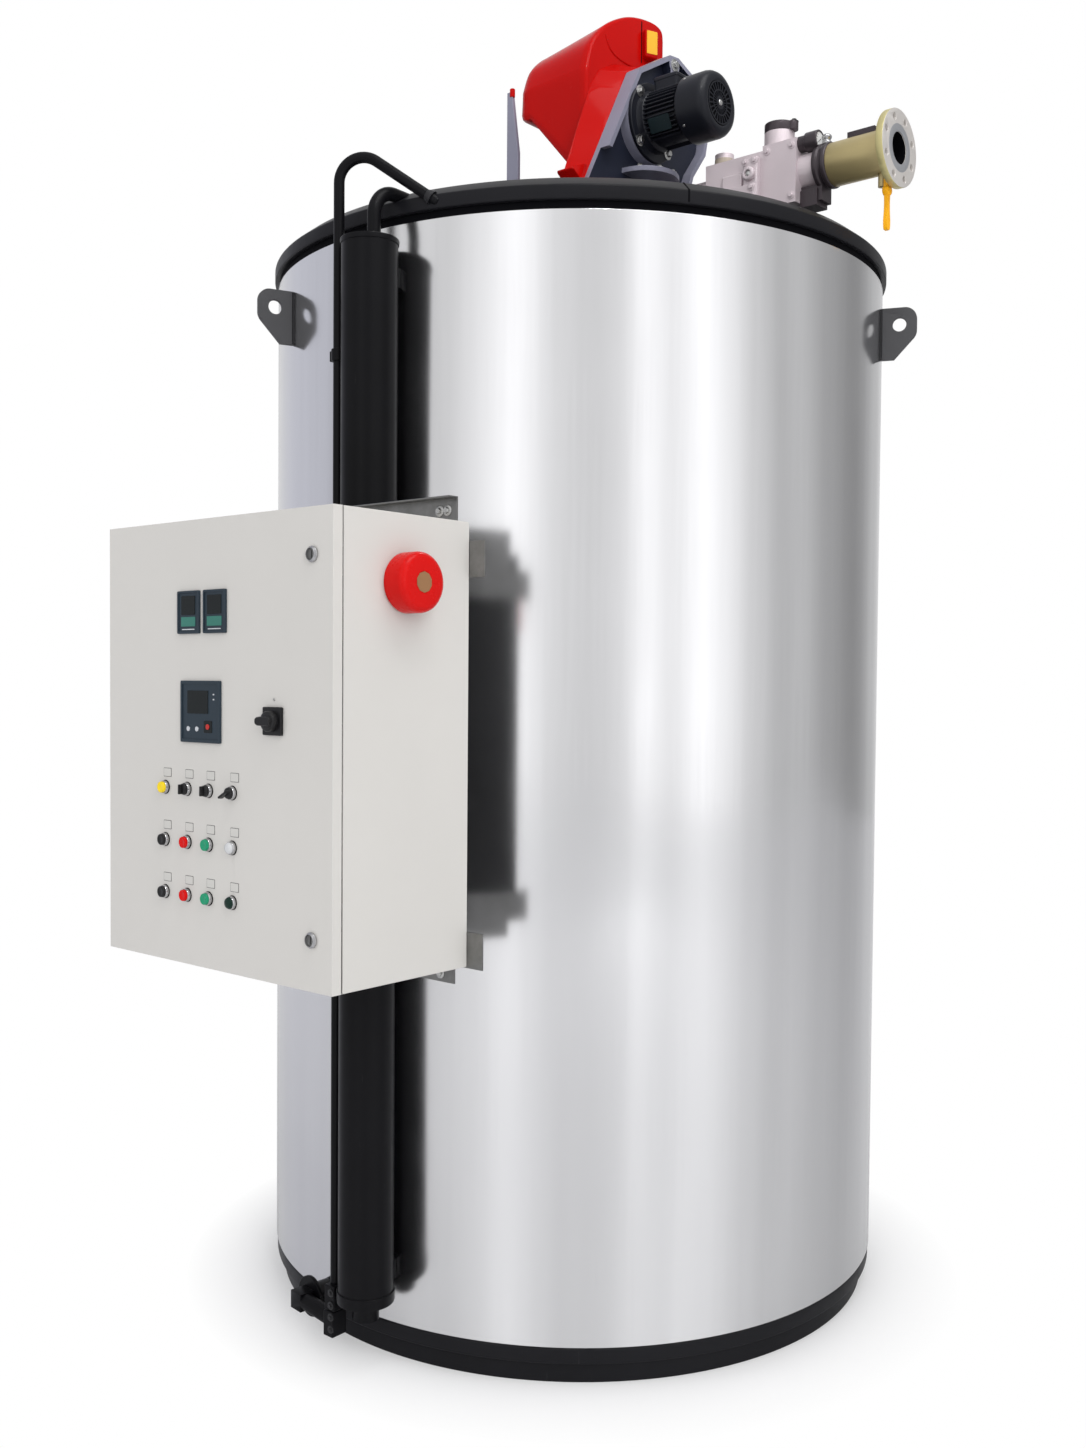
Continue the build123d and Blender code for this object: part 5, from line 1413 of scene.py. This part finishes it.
def in_recess(face):
    """Tells whether a face of the casting is its plate or the inner side of the rim round that."""
    on_plate = face.normal.x > 0.9 and abs(face.center.x - PLATE_X) < 0.004
    in_rim = PLATE_X < face.center.x < PLATE_X + RIM_DEPTH and face.center.y > -0.2 and face.normal.z < 0.2
    return on_plate or (in_rim and face.normal.dot(face.center - RIM_CENTRE) < 0)


# Its plate and the inner side of its rim, and the neck below, take the navy as painted shade.
repaint(casting, "deep_navy", in_recess)
soften("burner_neck", 0.003, 2, finish="deep_navy")
soften("burner_post", 0.0012, 2, finish="pale_grey")
neck_low = span("burner_neck")[0]
flange_top = neck_low.z + 0.020
NECK_BOLT_CIRCLE = 0.190
copies("neck_bolts", hex_bolt(0.024, 0.011), on_circle((0, 0, flange_top), "z", NECK_BOLT_CIRCLE, 12, 0.13),
       "dark_bolt")
post_low, post_high = span("burner_post")
PIN_RADIUS = 0.008
turned("post_pin", "red_gloss", rounded(rectangle(AXIS_HOLE, 0.0, PIN_RADIUS, 0.026), 0.003),
       (post_low.x + 2 * PIN_RADIUS, post_low.y + 0.006, post_high.z - 0.016), "z", 24)
FLARE_X0 = 0.150
FLARE_X1 = 0.214
FLARE_TIP = -0.304
flare = rounded([(FLARE_TIP, 0.222), (-0.262, 0.196), (-0.235, 0.196), (-0.235, 0.252), (-0.262, 0.240)], 0.010, 4)
sections = []
for x, size in ((FLARE_X0 + 0.003, 0.90), (FLARE_X0 + 0.008, 1.0), (FLARE_X1 - 0.008, 1.0), (FLARE_X1 - 0.002, 0.90)):
    sections.append([Vector((x, -0.240 + (y + 0.240) * size, LID_Z + 0.222 + (z - 0.222) * size)) for y, z in flare])
make("band_flare", loft(bmesh.new(), sections), "red_gloss", crease=50)
print("casting faces", len(casting.data.polygons))

# %% [markdown]
# ## The motor
# A standard flanged motor: a cast body with lengthwise cooling fins, a pressed cowl
# over its fan with a ring of slots in the end, and a small terminal box on top. The
# fins and the slots repeat about the motor's axis, so loops make them.

# %% Motor body and flange
motor_low, motor_high = span("motor_body")
cowl_low, cowl_high = span("motor_cowl")
MOTOR_Z = (cowl_low.z + cowl_high.z) / 2
COWL_RADIUS = (cowl_high.z - cowl_low.z) / 2
FLANGE_RADIUS = MOTOR_Z - motor_low.z
MOTOR_X0 = motor_low.x
MOTOR_X1 = cowl_low.x
BODY_RADIUS = 0.084
CORE_RADIUS = 0.072
FINS = 40
FIN_HALF = 0.0016
# No fin stands within this angle of straight down.
FIN_GAP = 0.42
shell = MOTOR_X1 - MOTOR_X0
turned("motor_shell", "motor_black",
       [(0.03, 0.0), (FLANGE_RADIUS - 0.002, 0.0), (FLANGE_RADIUS, 0.002), (FLANGE_RADIUS, 0.010),
        (FLANGE_RADIUS - 0.002, 0.012), (BODY_RADIUS + 0.004, 0.0125), (BODY_RADIUS, 0.020), (BODY_RADIUS, 0.030),
        (BODY_RADIUS - 0.004, 0.034), (CORE_RADIUS, 0.036), (CORE_RADIUS, shell - 0.012),
        (BODY_RADIUS - 0.004, shell - 0.010), (BODY_RADIUS - 0.002, shell + 0.004), (0.03, shell + 0.004)],
       (MOTOR_X0, 0, MOTOR_Z), "x", 96, False, nodes=("motor_body",), crease=40)
bm = bmesh.new()
for i in range(FINS):
    angle = math.tau * (i + 0.5) / FINS
    if abs(angle - math.pi / 2) < FIN_GAP:
        continue
    turn = Matrix.Translation((0, 0, MOTOR_Z)) @ Matrix.Rotation(-angle, 4, "X")
    sections = []
    for x in (MOTOR_X0 + 0.032, MOTOR_X1 - 0.011):
        sections.append([turn @ Vector((x, y, z)) for y, z in
                         ((CORE_RADIUS - 0.003, -FIN_HALF * 1.5), (BODY_RADIUS - 0.0008, -FIN_HALF),
                          (BODY_RADIUS, 0.0), (BODY_RADIUS - 0.0008, FIN_HALF),
                          (CORE_RADIUS - 0.003, FIN_HALF * 1.5))])
    loft(bm, sections)
make("motor_fins", bm, "motor_black", crease=30)
copies("motor_flange_bolts", hex_bolt(0.017, 0.009),
       on_circle((MOTOR_X0 + 0.012, 0, MOTOR_Z), "x", FLANGE_RADIUS - 0.013, 4, math.radians(45)), "screw_steel")
print("fins", FINS)

# %% Terminal box and plate
BOX_X0 = MOTOR_X0 + 0.034
BOX_X1 = MOTOR_X0 + 0.118
BOX_HALF = 0.038
BOX_TOP = motor_high.z
bm = bmesh.new()
box = rounded(rectangle(BOX_X0, -BOX_HALF, BOX_X1, BOX_HALF), 0.008, 3)
centre = ((BOX_X0 + BOX_X1) / 2, 0.0)
levels = ((MOTOR_Z + CORE_RADIUS - 0.012, 0.92), (BOX_TOP - 0.011, 0.96), (BOX_TOP - 0.0105, 1.0),
          (BOX_TOP - 0.003, 1.0), (BOX_TOP, 0.94))
loft(bm, [[Vector((centre[0] + (x - centre[0]) * size, y * size, z)) for x, y in box] for z, size in levels])
make("terminal_box", bm, "motor_black", crease=40)
copies("terminal_screws", pan_screw(0.0035, 0.002),
       [((x, y, BOX_TOP - 0.0005), (0, 0, 1)) for x in (BOX_X0 + 0.008, BOX_X1 - 0.008)
        for y in (-BOX_HALF + 0.008, BOX_HALF - 0.008)], "screw_steel")
plate_turn = Matrix.Translation((0, 0, MOTOR_Z)) @ Matrix.Rotation(math.radians(30), 4, "X")
plate_place = plate_turn @ Matrix.Translation(((MOTOR_X0 + MOTOR_X1) / 2 + 0.01, -BODY_RADIUS, 0)) @ AIM["-y"]
bm = prism(bmesh.new(), rounded(centred(0.072, 0.042), 0.003, 2), 0.001,
           plate_place @ Matrix.Translation((0, 0, -0.0008)))
make("motor_plate", bm, "plate_green", ease=0.0003)
print("terminal box up to", round(BOX_TOP, 3))

# %% Fan cowl
length = cowl_high.x - cowl_low.x
DISH = 0.003
SLOT_FIELD = 0.060
turned("fan_cowl", "motor_black",
       [(COWL_RADIUS - 0.003, 0.0), (COWL_RADIUS, 0.002), (COWL_RADIUS, length - 0.026),
        (COWL_RADIUS - 0.002, length - 0.016), (COWL_RADIUS - 0.008, length - 0.006),
        (COWL_RADIUS - 0.016, length - 0.0015), (COWL_RADIUS - 0.024, length), (SLOT_FIELD + 0.003, length),
        (SLOT_FIELD, length - DISH)],
       (cowl_low.x, 0, MOTOR_Z), "x", 96, False, nodes=("motor_cowl",), crease=50)
print("cowl radius", round(COWL_RADIUS, 3))

# %% [markdown]
# The air slots of the cowl are cut in two rings about its middle. Thin bars are laid
# over a near-black disc, painted shade for the dark inside of the cowl, and the gaps
# between them are the slots.

# %% Cowl grille
GRILLE_X = cowl_high.x - DISH
RING_EDGES = (0.016, 0.034, 0.057)
RING_BARS = (24, 24)
BAR_HALF = 0.0018
grille_centre = Vector((GRILLE_X, 0, MOTOR_Z))
# The near-black disc behind the bars is painted shade.
turned("grille_recess", "gap_black", [(SLOT_FIELD, -0.0005), (SLOT_FIELD, 0.0003), (0.001, 0.0003)], grille_centre,
       "x", 48, False)
bm = bmesh.new()
for radius in RING_EDGES:
    lathe(bm, rectangle(radius - BAR_HALF, 0.0, radius + BAR_HALF, DISH), grille_centre, "x", 48)
for inner, outer, bars in zip(RING_EDGES, RING_EDGES[1:], RING_BARS):
    for i in range(bars):
        start = math.tau * i / bars
        ray = Vector((0, math.cos(start), math.sin(start)))
        a = grille_centre + ray * inner
        b = grille_centre + ray * outer
        side = ray.cross(Vector((1, 0, 0))) * BAR_HALF * outer / RING_EDGES[-1]
        loft(bm, [[point + Vector((x, 0, 0)) for point in (a - side, b - side, b + side, a + side)]
                  for x in (0.0, DISH - 0.0004)])
lathe(bm, [(RING_EDGES[0], 0.0), (RING_EDGES[0], DISH), (0.006, DISH + 0.0002)], grille_centre, "x", 32, False)
make("cowl_grille", bm, "motor_black", crease=30, weld=False)
copies("grille_bolt", pan_screw(0.0085, 0.004), [((cowl_high.x, 0, MOTOR_Z), (1, 0, 0))], "screw_steel")
places = []
for degrees in (45, 135, 225, 315):
    ray = Vector((0, math.cos(math.radians(degrees)), math.sin(math.radians(degrees))))
    places.append((Vector((cowl_low.x + 0.014, 0, MOTOR_Z)) + ray * (COWL_RADIUS - 0.0006), ray))
copies("cowl_screws", pan_screw(0.0042, 0.0026), places, "screw_steel")
print("bars", sum(RING_BARS))

# %% [markdown]
# On the fan housing sit the bolt of its arm and, round the air intake, a ring of
# smaller bolts.

# %% Bolts on the casting
RIM_X = 0.262
copies("arm_bolt", hex_bolt(0.019, 0.0085), [((RIM_X, 0.118, LID_Z + 0.628), (1, 0, 0))], "screw_steel")
INTAKE_TOP = LID_Z + 0.258 + 0.014
intake_ring = on_circle((0.232, 0.008, INTAKE_TOP), "z", 0.092, 10, 0.2)
copies("intake_bolts", hex_bolt(0.013, 0.007), intake_ring[7:] + intake_ring[:3], "screw_steel")
print("intake top", round(INTAKE_TOP, 3))

# %% [markdown]
# ## Gas train
# The valve block is cast in a pinkish alloy and left unpainted. Its two halves are
# bolted together, its corners are rounded by the casting, and bosses carry the plugs.
# The sleeve and the flange are turned steel, passivated yellow on the sleeve.

# %% Valve block
block_low = span("gas_block")[0]
soften("gas_block", 0.006, 3)
GAS_Y = 0.090
GAS_Z = LID_Z + 0.200
HEAD_X = 0.620
BLOCK_X0 = block_low.x
BLOCK_X1 = 0.725
FRONT_Y = block_low.y
bm = bmesh.new()
slab(bm, (BLOCK_X0 + 0.060, FRONT_Y - 0.012, GAS_Z - 0.040), (HEAD_X - 0.060, FRONT_Y + 0.004, GAS_Z + 0.020))
slab(bm, (HEAD_X - 0.052, FRONT_Y - 0.020, GAS_Z - 0.062), (HEAD_X - 0.006, FRONT_Y + 0.004, GAS_Z + 0.052))
slab(bm, (HEAD_X - 0.120, FRONT_Y - 0.026, GAS_Z - 0.064), (HEAD_X - 0.010, FRONT_Y + 0.004, GAS_Z - 0.022))
make("block_covers", bm, "cast_aluminium", ease=0.006, segments=3)
places = []
for x, z in ((HEAD_X - 0.044, 0.040), (HEAD_X - 0.014, 0.040), (HEAD_X - 0.110, -0.034), (HEAD_X - 0.020, -0.034)):
    depth = 0.020 if z > 0 else 0.026
    places.append(((x, FRONT_Y - depth, GAS_Z + z), (0, -1, 0)))
places += [((x, FRONT_Y, GAS_Z + z), (0, -1, 0)) for z in (0.062, -0.074) for x in (HEAD_X + 0.014, BLOCK_X1 - 0.014)]
copies("block_bolts", hex_bolt(0.011, 0.005), places, "cast_aluminium")
port_place = (HEAD_X - 0.029, FRONT_Y - 0.019, GAS_Z + 0.004)
turned("port_ring", "cast_aluminium",
       rounded([(0.009, 0.0), (0.019, 0.0), (0.019, 0.012), (0.015, 0.015), (0.009, 0.015)], 0.002, 2),
       port_place, "-y", 32, crease=50)
turned("port_plug", "screw_steel", [(0.0095, 0.0), (0.0095, 0.010), (0.006, 0.0125), (0.001, 0.013)], port_place,
       "-y", 6, False)
print("block", [round(c, 3) for c in block_low])

# %% Cap, plug, union and switch box
boss_high = span("gas_boss_cap")[1]
soften("gas_boss_cap", 0.003, 3)
copies("cap_screw", hex_bolt(0.013, 0.006), [((0.686, GAS_Y, boss_high.z - 0.002), (0, 0, 1))], "dark_bolt")
turned("rounded_plug", "plug_beige",
       [(0.0275, 0.0), (0.0285, 0.010), (0.0275, 0.026), (0.023, 0.0345), (0.014, 0.0388), (0.001, 0.040)],
       (BLOCK_X0 + 0.027, GAS_Y, GAS_Z + 0.067), "z", 40, False, crease=60)
nipple_low = span("gas_nipple")[0]
UNION_X0 = 0.771
UNION_X1 = 0.813
OUTLET_RADIUS = 0.048
UNION_RADIUS = 0.061
bm = bmesh.new()
lathe(bm, rounded([(0.040, UNION_X0 - 0.004), (UNION_RADIUS - 0.006, UNION_X0), (UNION_RADIUS, UNION_X0 + 0.004),
                   (UNION_RADIUS, UNION_X0 + 0.014), (UNION_RADIUS - 0.005, UNION_X0 + 0.017),
                   (UNION_RADIUS - 0.005, UNION_X1 - 0.016), (UNION_RADIUS, UNION_X1 - 0.013),
                   (UNION_RADIUS, UNION_X1 - 0.003), (UNION_RADIUS - 0.004, UNION_X1), (0.040, UNION_X1)], 0.002, 2),
      (0, GAS_Y, GAS_Z), "x", 64)
GAUGE_Y = GAS_Y - 0.028
GAUGE_Z = GAS_Z + 0.066
lathe(bm, rounded([(0.012, -0.004), (0.022, -0.004), (0.022, 0.020), (0.027, 0.022), (0.027, 0.058), (0.0245, 0.060),
                   (0.0215, 0.060), (0.0205, 0.057), (0.012, 0.057)], 0.0012, 2),
      (BLOCK_X1, GAUGE_Y, GAUGE_Z), "x", 48)
box_low = Vector((BLOCK_X1, GAS_Y - 0.030, nipple_low.z))
box_high = Vector((BLOCK_X1 + 0.064, GAS_Y + 0.030, GAS_Z - OUTLET_RADIUS))
slab(bm, tuple(box_low), (box_high.x - 0.012, box_high.y, box_high.z - 0.012))
slab(bm, (box_low.x, box_low.y + 0.006, box_low.z + 0.012), tuple(box_high))
make("union_and_switch", bm, "dark_iron", nodes=("gas_nipple",), ease=0.003, segments=3, crease=50)
print("union", round(UNION_X1 - UNION_X0, 3), "long")

# %% Dial and ball fitting
turned("gauge_face", "dial_white", [(0.0212, 0.0), (0.0212, 0.001), (0.001, 0.0014)],
       (BLOCK_X1 + 0.057, GAUGE_Y, GAUGE_Z), "x", 40, False)


def gauge_mark(bm, degrees, outline, low, high):
    """A mark on the dial, turned about the dial's middle, between two heights over its face."""
    place = Matrix.Translation((BLOCK_X1 + 0.0584, GAUGE_Y, GAUGE_Z)) @ Matrix.Rotation(math.radians(degrees), 4, "X")
    loft(bm, [[place @ Vector((x, y, z)) for y, z in outline] for x in (low, high)])


bm = bmesh.new()
for i in range(11):
    gauge_mark(bm, 27 * i - 225, rectangle(0.0145, -0.0005, 0.0190, 0.0005), 0.0, 0.0004)
gauge_mark(bm, -140, ((-0.004, -0.0010), (0.0150, -0.0004), (0.0150, 0.0004), (-0.004, 0.0010)), 0.0004, 0.0010)
make("gauge_marks", bm, "black_plastic")
turned("ball_fitting", "chrome_trim",
       rounded([(0.003, 0.0), (0.014, 0.0), (0.014, 0.008), (0.009, 0.010), (0.0135, 0.018), (0.0135, 0.023),
                (0.009, 0.028), (0.003, 0.029)], 0.003, 3),
       (0.792, GAS_Y - 0.006, GAS_Z + UNION_RADIUS - 0.004), "z", 32, crease=60)
print("gauge at", round(GAUGE_Z, 3))

# %% Sleeve and flange
flange_low, flange_high = span("gas_flange")
FLANGE_X0 = flange_low.x
FLANGE_X1 = flange_high.x
GAS_BORE = 0.0825 / 2
SLEEVE_RADIUS = 0.1143 / 2
FLANGE_EDGE = 0.095


def off_axis(face):
    """How far a face's middle is from the axis of the gas line."""
    return Vector((face.center.y - GAS_Y, face.center.z - GAS_Z)).length


repaint(soften("gas_flange", 0.0012), "gold_rim",
        lambda face: abs(face.normal.x) < 0.5 and off_axis(face) > FLANGE_EDGE)
repaint(soften("gas_sleeve", 0.0015), "dark_iron",
        lambda face: face.center.z > GAS_Z + SLEEVE_RADIUS - 0.006 and off_axis(face) > SLEEVE_RADIUS + 0.0006)
SEAT_PROUD = 0.00006
BORE_WALL = 0.0018
turned("flange_seat", "bore_steel", rounded(rectangle(GAS_BORE, 0.0, 0.062, 0.002), 0.0006, 2),
       (FLANGE_X1 - 0.002 + SEAT_PROUD, GAS_Y, GAS_Z), "x", 64)
# A black tube inside the bore is painted shade for its dark inside.
turned("bore_liner", "gap_black", rectangle(GAS_BORE - BORE_WALL, 0.0, GAS_BORE + 0.0002, 0.15),
       (FLANGE_X1 - 0.153, GAS_Y, GAS_Z), "x", 56, crease=60)
turned("flange_weld", "yellow_zinc",
       rounded([(GAS_BORE + 0.001, 0.0), (0.061, 0.0), (0.061, 0.006), (0.0572, 0.008), (GAS_BORE + 0.001, 0.008)],
               0.0012, 2), (FLANGE_X0 - 0.0075, GAS_Y, GAS_Z), "x", 64, crease=60)
soften("gas_inlet_pipe", 0.001, 2)
soften("gas_cock", 0.001, 2)
print("flange face", round(FLANGE_X1, 3))

# %% [markdown]
# The cock's lever is stamped from thick strip and dipped in yellow plastic. It is
# broad at its foot, narrow in the middle, and swells again where the hand holds it.

# %% Lever
lever_low, lever_high = span("gas_lever")
lever_middle = (lever_low.y + lever_high.y) / 2
lever_height = lever_high.z - lever_low.z
lever_half = (lever_high.y - lever_low.y) / 2
LEVER_SPARE = 0.003
LEVER_SHAPE = ((0.00, 0.55), (0.05, 0.90), (0.18, 1.0), (0.34, 0.72), (0.52, 0.62), (0.68, 0.80), (0.82, 1.0),
               (0.95, 0.92), (1.00, 0.55))
smooth = curve_through(LEVER_SHAPE, 4)
outline = [(lever_middle + lever_half * wide * side, lever_low.z + lever_height * share)
           for side, line in ((1, smooth), (-1, smooth[::-1])) for share, wide in line]
bm = loft(bmesh.new(), [[Vector((x, y, z)) for y, z in outline]
                        for x in (lever_low.x - LEVER_SPARE, lever_high.x + LEVER_SPARE)])
lathe(bm, rounded(rectangle(AXIS_HOLE, -0.009, 0.014, 0.009), 0.004, 3),
      ((lever_low.x + lever_high.x) / 2, lever_middle, lever_low.z + 0.74 * lever_height), "x", 28)
make("lever", bm, "lever_yellow", BODY_OF["gas_lever"], ("gas_lever",), ease=0.0015, segments=3, crease=40)
print("lever", round(lever_height, 3))

# %% [markdown]
# ## Back of the heater
# The flue outlet and the two flanged connections for the heat carrier are plain
# welded pipework, with the bolt holes of a standard flange drawn as bolts.

# %% Back connections
for node, width, finish in (("flue_outlet", 0.0012, "lug_grey"), ("process_flanges", 0.0015, "lug_grey"),
                            ("floor_plate", 0.002, None)):
    soften(node, width, finish=finish)
END_THICK = 0.008
END_BACK = 0.004
END_SPARE = 0.0005
PROCESS_RADIUS = 0.100
flue_low, flue_high = span("flue_outlet")
process_low, process_high = span("process_flanges")
# Each is a bearing in degrees, its heights, how far its bolts stand off the jacket, their circle, their number and
# first angle, and its bore with the steps of its circle.
CONNECTIONS = ((150.0, ((flue_low.z + flue_high.z) / 2,), 0.122, 0.1725, 12, 0.13, 0.288, 64),
               (112.0, (process_low.z + PROCESS_RADIUS, process_high.z - PROCESS_RADIUS), 0.101, 0.080, 8, 0.39,
                0.077, 40))
places = []
# Black discs inside the bores are painted shade for the dark pipes behind them.
ends = bmesh.new()
for degrees, heights, stand_off, bolt_circle, bolts, first, bore, steps in CONNECTIONS:
    angle = math.radians(degrees)
    for z in heights:
        places += on_circle(polar(angle, jacket_radius + stand_off, z), polar(angle), bolt_circle, bolts, first)
        prism(ends, circle(bore / 2 - END_SPARE, steps), END_THICK,
              aimed(polar(angle, jacket_radius - END_BACK, z), polar(angle)))
make("bore_ends", ends, "gap_black")
copies("back_bolts", hex_bolt(0.020, 0.008), places, "dark_bolt")
print("bolts behind", len(places))
